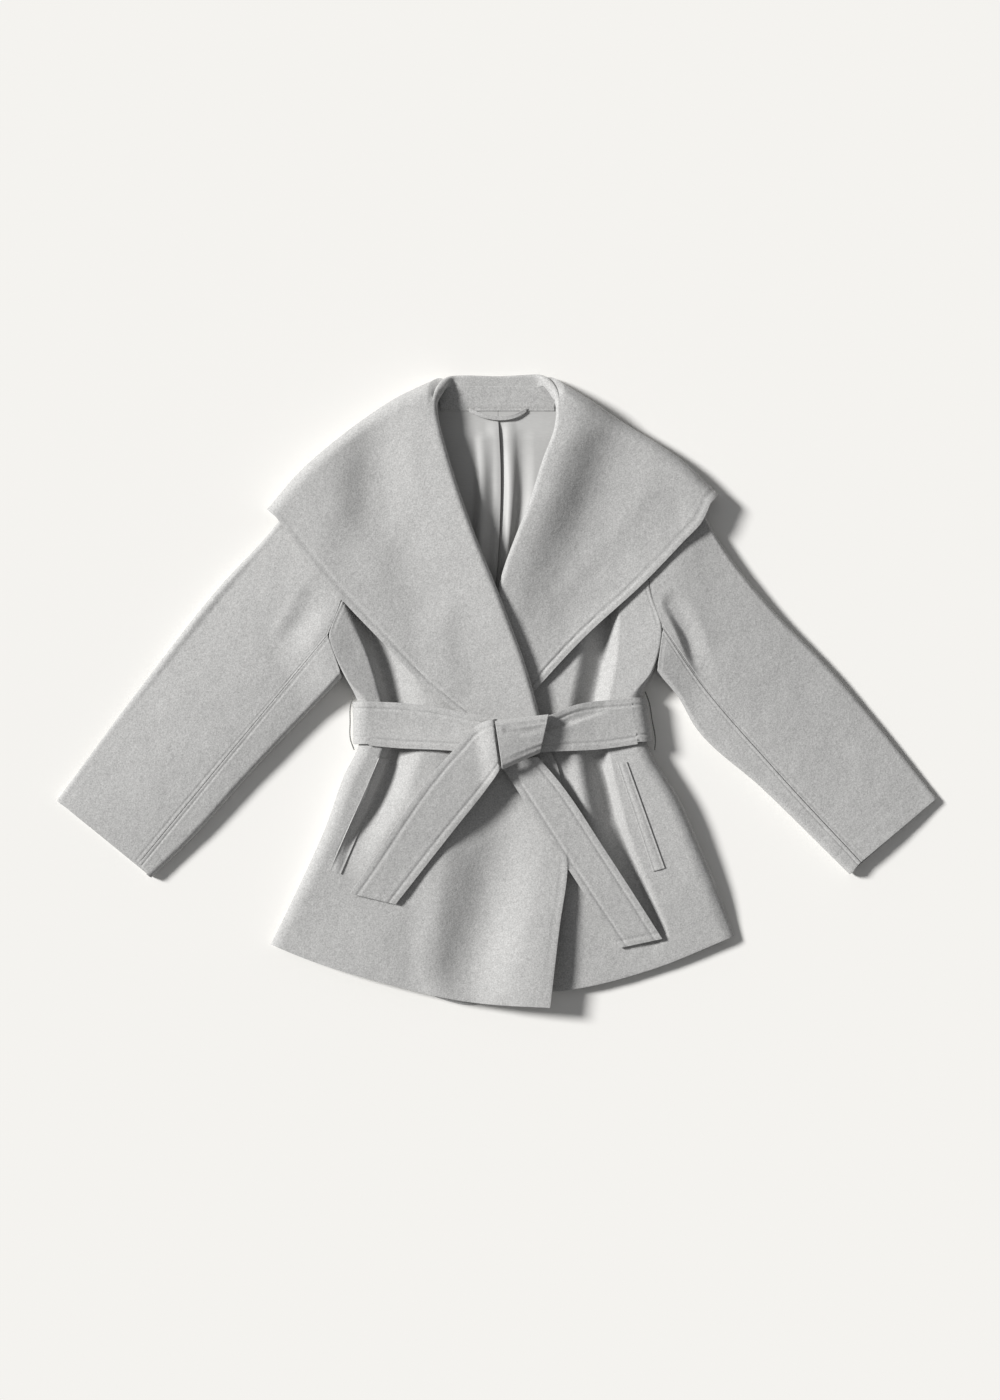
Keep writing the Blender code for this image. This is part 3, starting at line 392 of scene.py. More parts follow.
def front_under(x, y):
    """Outer face of the front that lies beneath: it meets the right stand below its roll."""
    near = 1 - step(STAND - 10, STAND + 16, x - roll_right(y))
    seat = roll_height(LAPEL_RIGHT, y) - 2 * ROLL_FRONT
    hidden = UNDER_DROP * step(-90, -160, y) * step(92, 40, x)
    z = lerp(form(x, y) - hidden, seat, near * step(-60, -20, y))
    return z + folds(x, y, "under")


def front_over(x, y):
    """Outer face of the front that lies on top: over the other front, and up to its stand."""
    z = form(x, y) + OVER_LIFT * step(-112, -66, x)
    flare = HEM_FLARE * step(-130, -330, y) * step(100, 8, free_over(y) - x)
    near = 1 - step(STAND - 8, STAND + 24, roll_left(y) - x)
    seat = roll_height(LAPEL_LEFT, y) - 2 * ROLL_FRONT
    z = lerp(z + flare, seat, near * step(-60, -20, y))
    return z + folds(x, y, "over")


def sleeve(x, y, side):
    """Outer face of a sleeve on its upper side; side is -1 for the left and 1 for the right."""
    top = np.array(SLEEVE_TOP_LEFT if side < 0 else SLEEVE_TOP_RIGHT, float)
    start, end = top[0], top[-1]
    length = np.linalg.norm(end - start)
    ax, ay = (end - start) / length
    along = ((x - start[0]) * ax + (y - start[1]) * ay) / length
    across = abs((x - start[0]) * ay - (y - start[1]) * ax) / SLEEVE_WIDTH
    across = np.clip(across, 0, 1)
    crown = SLEEVE_FOLD_TALL + (1 - SLEEVE_FOLD_TALL) * (1 - (2 * across - 1) ** 2)
    crown = crown * (1 - SLEEVE_TILT / 2 + SLEEVE_TILT * across)
    tall = along_x(SLEEVE_HEIGHT, along)
    edge = left_side(y) if side < 0 else right_side(y)
    away = step(0, 75, (x - edge) * side)
    creases = folds(x, y, "sleeve_left" if side < 0 else "sleeve_right")
    return lerp(form(x, y), tall * crown, away) + creases


def lapel_right(x, y):
    z = table_height(LAPEL_RIGHT, RIGHT_SPREAD, y, x - roll_right(y))
    z = z + folds(x, y, "lapel_right")
    support = np.where(x < right_side(y), front_under(x, y), sleeve(x, y, 1))
    return over(z, support + COLLAR + LAYER)


def lapel_left(x, y):
    z = table_height(LAPEL_LEFT, LAPEL_SPREAD, y, roll_left(y) - x)
    z = z + folds(x, y, "lapel_left")
    support = np.where(x > left_side(y), front_over(x, y), sleeve(x, y, -1))
    return over(z, support + COLLAR + LAYER)


def top_face(x, y):
    """Outer face of the fronts where the belt and its tails lie."""
    return np.where(x < free_over(y), front_over(x, y), front_under(x, y))


def belt(x, y):
    return over(along_x(BELT_HEIGHT, x), top_face(x, y) + BELT + BELT_GAP)


def tail(table):
    def height(x, y):
        z = over(along_x(table, -y), top_face(x, y) + BELT + BELT_GAP)
        return z + folds(x, y, "tail_left") * (table is TAIL_LEFT_HEIGHT)
    return height


def lining(x, y):
    raised = 0.2 + LINING_LIFT * step(334, 300, y)
    return base(x, y) + WOOL + SATIN + raised + folds(x, y, "lining")


# ---------------------------------------------------------------- shells


def unit_grid(rows, columns):
    return np.meshgrid(np.linspace(0, 1, rows), np.linspace(0, 1, columns), indexing="ij")


def unit(v):
    return v / np.maximum(np.linalg.norm(v, axis=-1, keepdims=True), 1e-9)


def grid_normals(grid):
    return unit(np.cross(np.gradient(grid, axis=0), np.gradient(grid, axis=1)))


def soft_noise(x, y, size, seed):
    """Smooth noise from -1 to 1 with features of about that size, in millimetres."""
    table = np.random.default_rng(seed).uniform(-1, 1, (64, 64))
    u, v = x / size, y / size
    i, j = np.floor(u).astype(int), np.floor(v).astype(int)
    f, g = u - i, v - j
    f, g = f * f * (3 - 2 * f), g * g * (3 - 2 * g)
    a, b = table[i % 64, j % 64], table[(i + 1) % 64, j % 64]
    c, d = table[i % 64, (j + 1) % 64], table[(i + 1) % 64, (j + 1) % 64]
    return lerp(lerp(a, b, f), lerp(c, d, f), g)


def nap(grid, amount):
    """Small unevenness of felted cloth, added to heights."""
    x, y = grid[..., 0], grid[..., 1]
    grid = grid.copy()
    grid[..., 2] += amount * (soft_noise(x + 700, y + 700, 46, 1) + 0.5 * soft_noise(
        x + 500, y + 900, 17, 2) + 0.18 * soft_noise(x, y, 6, 3))
    return grid


def groove(distance, place, width, depth):
    """A stitched line pulled into the cloth, with a soft swell on either side."""
    d = distance - place
    return -depth * np.exp(-(d / width) ** 2) + 0.25 * depth * np.exp(-((abs(d) - 3 * width)
                                                                        / (1.6 * width)) ** 2)


def smoothed(values, width, **edge):
    """Values along a line, averaged over that many neighbours."""
    kernel = np.hanning(width)
    padded = np.pad(values, width // 2, **edge)
    return np.convolve(padded, kernel / kernel.sum(), "valid")


def edge_distance(grid, axis, start):
    """Distance along a grid's rows or columns from one of its edges."""
    seg = np.linalg.norm(np.diff(grid, axis=axis), axis=-1)
    pad = [(0, 0), (0, 0)]
    pad[axis] = (1, 0)
    run = np.cumsum(np.pad(seg, pad), axis=axis)
    return run if start else np.take(run, [-1], axis=axis) - run


def pushed(grid, amount, flip):
    """A grid moved along its outward normals."""
    normal = grid_normals(grid) * (-1 if flip else 1)
    return grid + normal * amount[..., None]


def added(name, data):
    """An object in the scene."""
    thing = bpy.data.objects.new(name, data)
    bpy.context.scene.collection.objects.link(thing)
    return thing


def shell(name, grid, thickness, look, flip=False):
    """A closed shell under a grid of outer points; its sides and area are worked out but not used.
    """
    if flip:
        grid = grid[:, ::-1]
    inner = grid - grid_normals(grid) * thickness
    inner[..., 2] = np.maximum(inner[..., 2], 0.0)
    rows, columns = grid.shape[:2]
    points = np.concatenate((grid.reshape(-1, 3), inner.reshape(-1, 3))) * MM
    number = np.arange(rows * columns).reshape(rows, columns)
    a, b = number[:-1, :-1].ravel(), number[1:, :-1].ravel()
    c, d = number[1:, 1:].ravel(), number[:-1, 1:].ravel()
    n = rows * columns
    faces = np.concatenate((np.stack((a, b, c, d), axis=1), np.stack((d, c, b, a), axis=1) + n))
    rim = np.r_[number[0, :], number[1:, -1], number[-1, -2::-1], number[-2:0:-1, 0]]
    after = np.roll(rim, -1)
    faces = np.concatenate((faces, np.stack((rim, after, after + n, rim + n), axis=1)))
    mesh = bpy.data.meshes.new("cloth_" + name)
    mesh.from_pydata(points.tolist(), [], faces.tolist())
    mesh.shade_smooth()
    mesh.materials.append(LOOKS[look])
    piece = added("cloth_" + name, mesh)
    bevel = piece.modifiers.new("edge", "BEVEL")
    bevel.width = SOFT_EDGE * thickness * MM
    bevel.segments = 3
    bevel.limit_method = "ANGLE"
    bevel.angle_limit = math.radians(60)
    bevel.use_clamp_overlap = True
    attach(piece, "root")
    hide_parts(name)
    across = np.linalg.norm(np.diff(grid, axis=1), axis=-1).sum(axis=1).max() * MM
    along = np.linalg.norm(np.diff(grid, axis=0), axis=-1).sum(axis=0).max() * MM
    cell = np.linalg.norm(np.cross(grid[1:, :-1] - grid[:-1, :-1], grid[:-1, 1:] - grid[:-1, :-1]),
                          axis=-1)
    area = min(float(cell.sum()) * MM * MM, across * along)
    across, along = max(across, LEAST_SIDE), max(along, LEAST_SIDE)
    area = max(area, LEAST_SHARE * across * along)
    across, along = round(float(across), 3), round(float(along), 3)


def turned(edge, inward, reach, high, low, count):
    """Half an ellipse that turns a sheet under: rows x count points, from high to low."""
    angle = np.linspace(0, math.pi, count)
    reach = np.broadcast_to(reach, edge.shape[:1])
    plan = edge[:, None] + inward[:, None] * (reach[:, None] * (1 - np.sin(angle)))[..., None]
    z = low[:, None] + (high - low)[:, None] * (1 + np.cos(angle)) / 2
    return np.concatenate((plan, z[..., None]), axis=2)


def lift(plan, height):
    return np.concatenate((plan, height(plan[..., 0], plan[..., 1])[..., None]), axis=-1)


# ---------------------------------------------------------------- materials

def nodes_of(name):
    mat = bpy.data.materials.new(name)
    mat.use_nodes = True
    tree = mat.node_tree
    return mat, tree, tree.nodes["Principled BSDF"]


def set_sockets(node, table):
    for socket, value in table.items():
        node.inputs[socket].default_value = value


def noise(tree, where, scale, detail, rough=0.5, stretch=None):
    """A noise texture at that scale, in cycles for each metre."""
    tex = tree.nodes.new("ShaderNodeTexNoise")
    set_sockets(tex, {"Scale": scale, "Detail": detail, "Roughness": rough})
    if stretch:
        mapping = tree.nodes.new("ShaderNodeMapping")
        mapping.inputs["Scale"].default_value = stretch
        tree.links.new(where, mapping.inputs["Vector"])
        where = mapping.outputs["Vector"]
    tree.links.new(where, tex.inputs["Vector"])
    return tex.outputs["Fac"]


def mapped(tree, value, low, high):
    """A noise's usual range, stretched to a range from low to high."""
    node = tree.nodes.new("ShaderNodeMapRange")
    set_sockets(node, {"From Min": 0.3, "From Max": 0.7, "To Min": low, "To Max": high})
    tree.links.new(value, node.inputs["Value"])
    return node.outputs["Result"]


def maths(tree, operation, a, b):
    node = tree.nodes.new("ShaderNodeMath")
    node.operation = operation
    for value, socket in ((a, node.inputs[0]), (b, node.inputs[1])):
        if isinstance(value, (int, float)):
            socket.default_value = value
        else:
            tree.links.new(value, socket)
    return node.outputs[0]


def bump(tree, shader, height, strength, distance, before=None):
    node = tree.nodes.new("ShaderNodeBump")
    set_sockets(node, {"Strength": strength, "Distance": distance})
    tree.links.new(height, node.inputs["Height"])
    if before:
        tree.links.new(before, node.inputs["Normal"])
    tree.links.new(node.outputs["Normal"], shader.inputs["Normal"])
    return node.outputs["Normal"]


def tinted(tree, shader, tone, value):
    """The base colour: one tone, scaled by a value that varies over the cloth."""
    colour = tree.nodes.new("ShaderNodeVectorMath")
    colour.operation = "SCALE"
    colour.inputs[0].default_value = tone
    tree.links.new(value, colour.inputs["Scale"])
    tree.links.new(colour.outputs["Vector"], shader.inputs["Base Color"])


WOOL_SOCKETS = {"Roughness": 0.94, "Specular IOR Level": 0.2, "Sheen Weight": 0.25,
                "Sheen Roughness": 0.5, "Sheen Tint": (0.9, 0.9, 0.9, 1)}
SATIN_SOCKETS = {"Roughness": 0.46, "Specular IOR Level": 0.32, "Anisotropic": 0.4,
                 "Sheen Weight": 0.1, "Sheen Tint": (1, 1, 1, 1)}
FLOOR_SOCKETS = {"Base Color": FLOOR_COLOUR, "Roughness": 1.0, "Specular IOR Level": 0.0}


def wool_look(name, tone):
    """Felted wool: pale and dark fibres at two sizes, with a short matted nap."""
    mat, tree, shader = nodes_of(name)
    where = tree.nodes.new("ShaderNodeTexCoord").outputs["Object"]
    fine = noise(tree, where, 560, 3, 0.75)
    clumps = noise(tree, where, 190, 4, 0.65)
    cloud = noise(tree, where, 22, 3, 0.5)
    fleck = mapped(tree, fine, -0.26, 0.26)
    matted = mapped(tree, clumps, -0.07, 0.07)
    wide = mapped(tree, cloud, -0.018, 0.018)
    value = maths(tree, "ADD", maths(tree, "ADD", fleck, matted), wide)
    tinted(tree, shader, tone, maths(tree, "ADD", value, 1.0))
    set_sockets(shader, WOOL_SOCKETS)
    first = bump(tree, shader, clumps, 0.45, 0.0011)
    bump(tree, shader, fine, 0.5, 0.0004, first)
    return mat


def satin_look(name, tone):
    """Satin: a fine weave with a soft directional gloss."""
    mat, tree, shader = nodes_of(name)
    where = tree.nodes.new("ShaderNodeTexCoord").outputs["Object"]
    weave = noise(tree, where, 500, 2, 0.5, (0.25, 3.0, 1.0))
    value = mapped(tree, weave, 0.96, 1.04)
    tinted(tree, shader, tone, value)
    set_sockets(shader, SATIN_SOCKETS)
    bump(tree, shader, weave, 0.12, 0.0003)
    return mat


LOOKS = {
    "wool": wool_look("wool", (0.47, 0.468, 0.462)),
    "satin": satin_look("satin", (0.50, 0.498, 0.49)),
    "thread": wool_look("thread", (0.2, 0.2, 0.19)),
}


# ---------------------------------------------------------------- pieces

def wrap_depth(y, armpit):
    """How far a front turns under its side at y."""
    return lerp(FOLD, SEAM_TURN, step(armpit - WRAP_FULL, armpit - WRAP_END, y))


def front(name, patch, height, armpit, flip):
    """One front from its patch, with its side turned under from armpit to hem."""
    rows, columns = FRONT_GRID
    s = np.linspace(0, 1, rows)[:, None]
    edge = patch(s, 0.0)[:, 0]
    inner = patch(s, 0.04)[:, 0]
    inward = unit(inner - edge)
    span = np.linalg.norm(patch(s, 1.0)[:, 0] - edge, axis=1)
    reach = wrap_depth(edge[:, 1], armpit)
    first = reach / span
    w = first[:, None] + (1 - first)[:, None] * np.linspace(0, 1, columns)
    top = lift(patch(s + 0 * w, w), height)
    full = step(armpit - 40, armpit - 60, edge[:, 1])
    low_z = lerp(top[:, 0, 2] - SEAM_DROP, base(edge[:, 0], edge[:, 1]), full)
    side = turned(edge, inward, reach, top[:, 0, 2], low_z, 16)
    grid = np.concatenate((side[:, :0:-1], top), axis=1)
    faded = 1 - step(12, 0, edge_distance(grid, 1, True))
    grid = nap(grid, 0.5)
    free = edge_distance(grid, 1, False)
    hem = edge_distance(grid, 0, False)
    armhole = edge_distance(top, 1, True)
    armhole = np.concatenate((np.full(side[:, 1:].shape[:2], 99.0), armhole), axis=1)
    above = step(armpit - 6, armpit + 14, grid[..., 1])
    below = step(-60, -84, grid[..., 1])
    move = below * groove(free, *FREE_STITCH) + groove(hem, *HEM_STITCH)
    move += above * groove(armhole, *ARMHOLE_STITCH)
    grid = pushed(grid, move * faded, flip)
    shell(name, grid, WOOL, "wool", flip)


def build_fronts():
    for name, side, roll, stand_top, free, hem, height, armpit, sign, rests_on in (
            ("front_under", SIDE_RIGHT, ROLL_RIGHT, (88, 340), FREE_EDGE_UNDER, HEM_UNDER[::-1],
             front_under, ARMPIT[1], 1, ["back"]),
            ("front_over", SIDE_LEFT, ROLL_LEFT, (-96, 340), FREE_EDGE_OVER, HEM_OVER,
             front_over, ARMPIT[0], -1, ["back", "cloth_front_under"])):
        stand = [(x + sign * STAND_EDGE, y) for x, y in roll[:-2]] + [stand_top]
        edge = stand[::-1] + list(free[1:])
        tip = (side[0][0], side[0][1] - TIP_INSET)
        patch = coons(curve((tip, stand[-1])), curve(hem), curve((tip,) + side[1:]), curve(edge))
        front(name, patch, height, armpit, sign > 0)


def build_back():
    def side(points, armpit, sign):
        line = curve(points)(np.linspace(0, 1, 24))
        share = (wrap_depth(line[:, 1], armpit + 12) - SEAM_TURN) / (FOLD - SEAM_TURN)
        line[:, 0] -= sign * (SEAM + share * (FOLD + 4.0))
        return line

    left, right = side(SIDE_LEFT, ARMPIT[0], -1), side(SIDE_RIGHT, ARMPIT[1], 1)
    left[0, 1] -= TIP_INSET
    right[0, 1] -= TIP_INSET
    top = (left[0], (-130, 318), (-84, 346), (-50, 346), (0, 345), (45, 346), (78, 346),
           (130, 316), right[0])
    hem = (left[-1],) + HEM_BACK[1:-1] + (right[-1],)
    patch = coons(curve(top), curve(hem), curve(left), curve(right))
    s, w = unit_grid(*BACK_GRID)
    flat = lift(patch(s, w), base)
    edge = flat[0]
    out = unit(flat[0, :, :2] - flat[1, :, :2])
    shoulder = step(-94, -116, edge[:, 0]) + step(90, 112, edge[:, 0])
    front_edge = form(edge[:, 0], edge[:, 1]) - WOOL - 3 * SEAM
    rise = []
    for angle in np.linspace(math.pi / 2, 0, 9)[:-1]:
        ring = edge.copy()
        ring[:, :2] += out * SHOULDER_TURN * math.sin(angle)
        ring[:, 2] += shoulder * (front_edge - edge[:, 2]) * (1 - math.cos(angle))
        rise.append(ring)
    grid = np.concatenate((np.array(rise), flat))
    shell("back", grid, WOOL, "wool", True)


def build_collar():
    widths = np.linspace(0, 1, LAPEL_GRID[1])
    beside = (1 - step(0, 0.22, widths))[:, None]
    turns_count = 16

    def lapel(roll, outer, shoulder, neck, height, sign):
        edge = curve(shoulder)(widths)
        along = unit(np.gradient(edge, axis=0))
        out = np.stack((along[:, 1], -along[:, 0]), axis=1) * sign
        inset = edge - out * SHOULDER_FOLD
        upper = lerp(inset, np.array(neck[0], float), beside)
        lower = lerp(inset, np.array(neck[1], float), beside)
        reach = lerp(SHOULDER_FOLD, 7.0, beside)
        roll_line = curve(list(roll[:-1]) + [upper[0]])
        outer_line = curve(list(outer[:-1]) + [upper[-1]])
        patch = coons(curve((roll[0], outer[0])), curve(upper), roll_line, outer_line)
        s, w = unit_grid(*LAPEL_GRID)
        rows = lift(patch(s, w), height)
        high = rows[-1, :, 2]
        turns = []
        for angle in np.linspace(0, math.pi, turns_count)[1:-1]:
            share = (1 - math.cos(angle)) / 2
            plan = lerp(upper, lower, share) + out * reach * math.sin(angle)
            turns.append(np.concatenate((plan, (high * (1 - share))[:, None]), axis=1))
        return rows, np.array(turns), lower

    left, left_turn, left_low = lapel(
        ROLL_LEFT, COLLAR_LEFT, SHOULDER_LEFT, NECK_LEFT, lapel_left, 1)
    right, right_turn, right_low = lapel(
        ROLL_RIGHT, COLLAR_RIGHT, SHOULDER_RIGHT, NECK_RIGHT, lapel_right, -1)
    behind = coons(curve(left_low), curve(right_low), curve(NECK_TOP),
                   curve((left_low[-1], right_low[-1])))
    s, w = unit_grid(NECK_ROWS, len(widths))
    back = lift(behind(s, w), lambda x, y: 0 * x)
    fall = np.concatenate((left, left_turn, back, right_turn[::-1], right[::-1]))

    turning = np.zeros(len(fall))
    first, count = len(left), len(left_turn)
    turning[first - 3:first + count + 4] = 1
    turning[-first - count - 4:-first + 3] = 1
    turning = smoothed(turning, 41, mode="edge")[:, None]
    # The fall starts beyond the roll, so its rows are spread again from there.
    run = edge_distance(fall, 1, True)
    spread_rows = []
    for row, length in zip(fall, run):
        at = np.r_[0.0, np.linspace(ROLL_FRONT + 2, length[-1], len(widths) - 1)]
        spread_rows.append(np.stack([np.interp(at, length, row[:, k]) for k in range(3)], axis=1))
    fall = np.array(spread_rows)
    inward = unit(fall[:, 1] - fall[:, 0])
    inward = unit(lerp(inward, np.array((0.0, -1.0, 0.0)), 0.8 * turning))
    tangent = np.gradient(fall[:, 0], axis=0)
    tangent = np.stack([smoothed(tangent[:, k], 25, mode="edge") for k in range(3)], axis=1)
    normal = unit(np.cross(tangent, inward))
    behind_neck = step(14, 5, fall[:, 0, 2])[:, None]
    radius = lerp(ROLL_FRONT, ROLL_BACK, behind_neck)
    rings = []
    for share in np.linspace(1, 0, 12):
        depth = STAND * share * (1 - 0.75 * turning)
        rings.append(fall[:, 0] - 2 * radius * normal + inward * (radius + depth))
    for angle in np.linspace(math.pi, 0, 16)[1:-1]:
        rings.append(fall[:, 0] + inward * radius - normal * radius
                     + radius * (normal * math.cos(angle) - inward * math.sin(angle)))
    rings.append(fall[:, 0] + inward * radius)
    # The roll turns the corners beside the neck smoothly.
    rolled = np.stack(rings, axis=1)
    for j in range(rolled.shape[1]):
        for k in range(3):
            rolled[:, j, k] = smoothed(rolled[:, j, k], 23, mode="reflect", reflect_type="odd")
    grid = np.concatenate((rolled, fall[:, 1:]), axis=1)
    grid = nap(grid, 0.5)
    outer = edge_distance(grid, 1, False)
    grid = pushed(grid, groove(outer, *COLLAR_STITCH) + 0.35 * step(STITCH_IN, 4, outer), False)
    grid[..., 2] = np.maximum(grid[..., 2], 0)
    shell("collar", grid, COLLAR, "wool", False)


def build_sleeves():
    for name, sign, side, top, low, seam in (
            ("left", -1, SIDE_LEFT, SLEEVE_TOP_LEFT, SLEEVE_LOW_LEFT, SLEEVE_SEAM_LEFT),
            ("right", 1, SIDE_RIGHT, SLEEVE_TOP_RIGHT, SLEEVE_LOW_RIGHT, SLEEVE_SEAM_RIGHT)):
        gap = np.array((sign * 2 * SEAM, 0.0))
        upper_hole = [top[0]] + [tuple(np.array(p) + gap) for p in side[1:ARMHOLE_END]] + [seam[0]]
        whole_hole = upper_hole + [low[0]]
        s = np.linspace(0, 1, SLEEVE_ROWS)[:, None]
        zero = 0 * s

        def height(x, y):
            return sleeve(x, y, sign)

        upper = coons(curve(upper_hole), curve((top[-1], seam[-1])), curve(top), curve(seam))
        lower = coons(curve((seam[0], low[0])), curve((seam[-1], low[-1])), curve(seam),
                      curve(low))
        under = coons(curve(whole_hole), curve((top[-1], low[-1])), curve(top), curve(low))

        def folded(patch, start, reach):
            edge = patch(s, zero + start)[:, 0]
            inner = patch(s, zero + abs(start - 0.05))[:, 0]
            inward = unit(inner - edge)
            high = height(*(edge + inward * reach).T)
            return turned(edge, inward, reach, high, base(edge[:, 0], edge[:, 1]), 15)

        def spread(patch, first, last, count):
            return patch(s, np.linspace(0, 1, count) * (last - first) + first + zero)

        def width(patch):
            return np.linalg.norm(patch(s, zero + 1.0) - patch(s, zero), axis=-1)

        start = SLEEVE_FOLD / width(under)
        bottom = lift(spread(under, start, BACK_SEAM, 24), base)[:, ::-1]
        turn = folded(under, 0.0, SLEEVE_FOLD)[:, ::-1]
        first = SLEEVE_FOLD / width(upper)
        face = lift(spread(upper, first, 1 - SEAM / width(upper), 90), height)
        grid = np.concatenate((bottom[:, :-1], turn, face[:, 1:]), axis=1)
        finish_sleeve(f"sleeve_{name}_upper", grid, False, sign)

        reach = SLEEVE_FOLD
        last = 1 - reach / np.maximum(width(lower), 2 * reach)
        face = lift(spread(lower, SEAM / np.maximum(width(lower), 9), last, 30), height)
        turn = folded(under, 1.0, reach)
        bottom = lift(spread(under, 1 - reach / width(under), BACK_SEAM + 2 * SEAM / width(under),
                             60), base)
        grid = np.concatenate((face[:, :-1], turn, bottom[:, 1:]), axis=1)
        finish_sleeve(f"sleeve_{name}_under", grid, True, sign)


def finish_sleeve(name, grid, seam_first, sign):
    """Welt at the front seam, a felled armhole and a stitched cuff, on one piece of a sleeve."""
    grid = nap(grid, 0.5)
    grid[..., 2] = np.maximum(grid[..., 2], 0)
    hole = edge_distance(grid, 0, True)
    cuff = edge_distance(grid, 0, False)
    seam = edge_distance(grid, 1, seam_first)
    upward = np.abs(grid_normals(grid)[..., 2])
    move = upward * (groove(hole, *FELLED_STITCH) + groove(cuff, *CUFF_STITCH)
                     + groove(seam, *SLEEVE_STITCH))
    grid = pushed(grid, np.minimum(move, 0.15), sign > 0)
    grid[..., 2] = np.maximum(grid[..., 2], 0)
    shell(name, grid, WOOL, "wool", sign > 0)


def strip(name, upper, lower, height, rows, columns, thickness, look="wool", rests_on=(),
          stitched=(), rough=0.35):
    """A strip between two edges that run the same way, on a height function."""
    u, v = unit_grid(rows, columns)
    grid = lift(lerp(curve(upper)(u), curve(lower)(u), v[..., None]), height)
    grid = nap(grid, rough)
    flip = bool(grid_normals(grid)[..., 2].mean() < 0)
    move = sum((groove(edge_distance(grid, axis, start), place, STRIP_STITCH, depth)
                for axis, start, place, depth in stitched), np.zeros(grid.shape[:2]))
    grid = pushed(grid, move, flip)
    shell(name, grid, thickness, look, flip)


def creased(grid, name, share):
    """Press the piece's creases into a grid, by a share of their depth."""
    x, y = grid[..., 0], grid[..., 1]
    for row in CREASES:
        if row[0] == name:
            grid[..., 2] += fold_rise(x, y, *row[1:]) * share


def build_belt():
    for name, sign, upper, lower, side in (
            ("belt_left", -1, BELT_TOP_LEFT, BELT_LOW_LEFT, BELT_SIDE_LEFT),
            ("belt_right", 1, BELT_TOP_RIGHT, BELT_LOW_RIGHT, BELT_SIDE_RIGHT)):
        count, columns = BELT_GRID
        edge = curve(side)(np.linspace(0, 1, count))
        inward = np.tile(np.array((-sign, 0.0)), (count, 1))
        u, v = unit_grid(count, columns)
        first = BELT_FOLD / BELT_LENGTH
        plan = lerp(curve(upper)(first + (1 - first) * v), curve(lower)(first + (1 - first) * v),
                    u[..., None])
        face = lift(plan, belt)
        turn = turned(edge, inward, BELT_FOLD, face[:, 0, 2], 0 * edge[:, 0], 18)[:, ::-1]
        grid = nap(np.concatenate((turn, face[:, 1:]), axis=1), 0.6)
        move = groove(edge_distance(grid, 0, True), *BELT_STITCH)
        move += groove(edge_distance(grid, 0, False), *BELT_STITCH)
        grid = pushed(grid, move, sign > 0)
        # Only the face is creased, not what is turned under.
        creased(grid, name, step(12, 20, grid[..., 2]))
        grid[..., 2] = np.maximum(grid[..., 2], 0)
        shell(name, grid, BELT, "wool", sign > 0)
    inner = BELT_FOLD + 3.0
    upper, lower = (((left[0] + inner, left[1]), (right[0] - inner, right[1]))
                    for left, right in zip(BELT_SIDE_LEFT, BELT_SIDE_RIGHT))
    strip("belt_back", upper, lower, lambda x, y: 0 * x + BELT, 60, 24, BELT,
          rests_on=["floor"], rough=0.0)
    edges = [(1, True, STITCH_IN, 0.6), (1, False, STITCH_IN, 0.6), (0, False, STITCH_IN, 0.6)]
    strip("belt_tail_left", TAIL_LEFT_UPPER, TAIL_LEFT_LOWER, tail(TAIL_LEFT_HEIGHT),
          *TAIL_GRID, BELT, rests_on=["cloth_belt_left", "cloth_front_over"], stitched=edges)
    strip("belt_tail_right", TAIL_RIGHT_LEFT, TAIL_RIGHT_RIGHT, tail(TAIL_RIGHT_HEIGHT),
          *TAIL_GRID, BELT, rests_on=["cloth_front_over", "cloth_front_under"], stitched=edges)


def build_knot():
    u = np.linspace(0, 1, 60)
    left, right = curve(KNOT_LEFT), curve(KNOT_RIGHT)
    ring = []
    for t in u:
        upper, lower = lerp(left(0.0), right(0.0), t), lerp(left(1.0), right(1.0), t)
        down = unit(lower - upper)
        line = [(*(upper + down * KNOT_TURN * (1 - math.cos(a))), KNOT_LOW + KNOT_RISE
                 * math.sin(a)) for a in np.linspace(0, math.pi / 2, 10)]
        middle = [(*lerp(upper, lower, k), KNOT_LOW + KNOT_RISE + 2 * math.sin(math.pi * k))
                  for k in np.linspace(0.2, 0.8, 26)]
        after = [(*(lower - down * KNOT_TURN * (1 - math.cos(a))), KNOT_LOW + KNOT_RISE
                  * math.sin(a)) for a in np.linspace(math.pi / 2, 0, 10)]
        ring.append(line + middle + after)
    grid = nap(np.array(ring), 0.4)
    # The band leans down to the right, with a soft crease along it.
    grid[..., 2] += lerp(*KNOT_LEAN, u)[:, None]
    creased(grid, "belt_knot", 1)
    flip = bool(grid_normals(grid)[:, grid.shape[1] // 2, 2].mean() < 0)
    move = groove(edge_distance(grid, 1, True), *KNOT_STITCH)
    move += groove(edge_distance(grid, 1, False), *KNOT_STITCH)
    grid = pushed(grid, move, flip)
    shell("belt_knot", grid, BELT, "wool", flip)


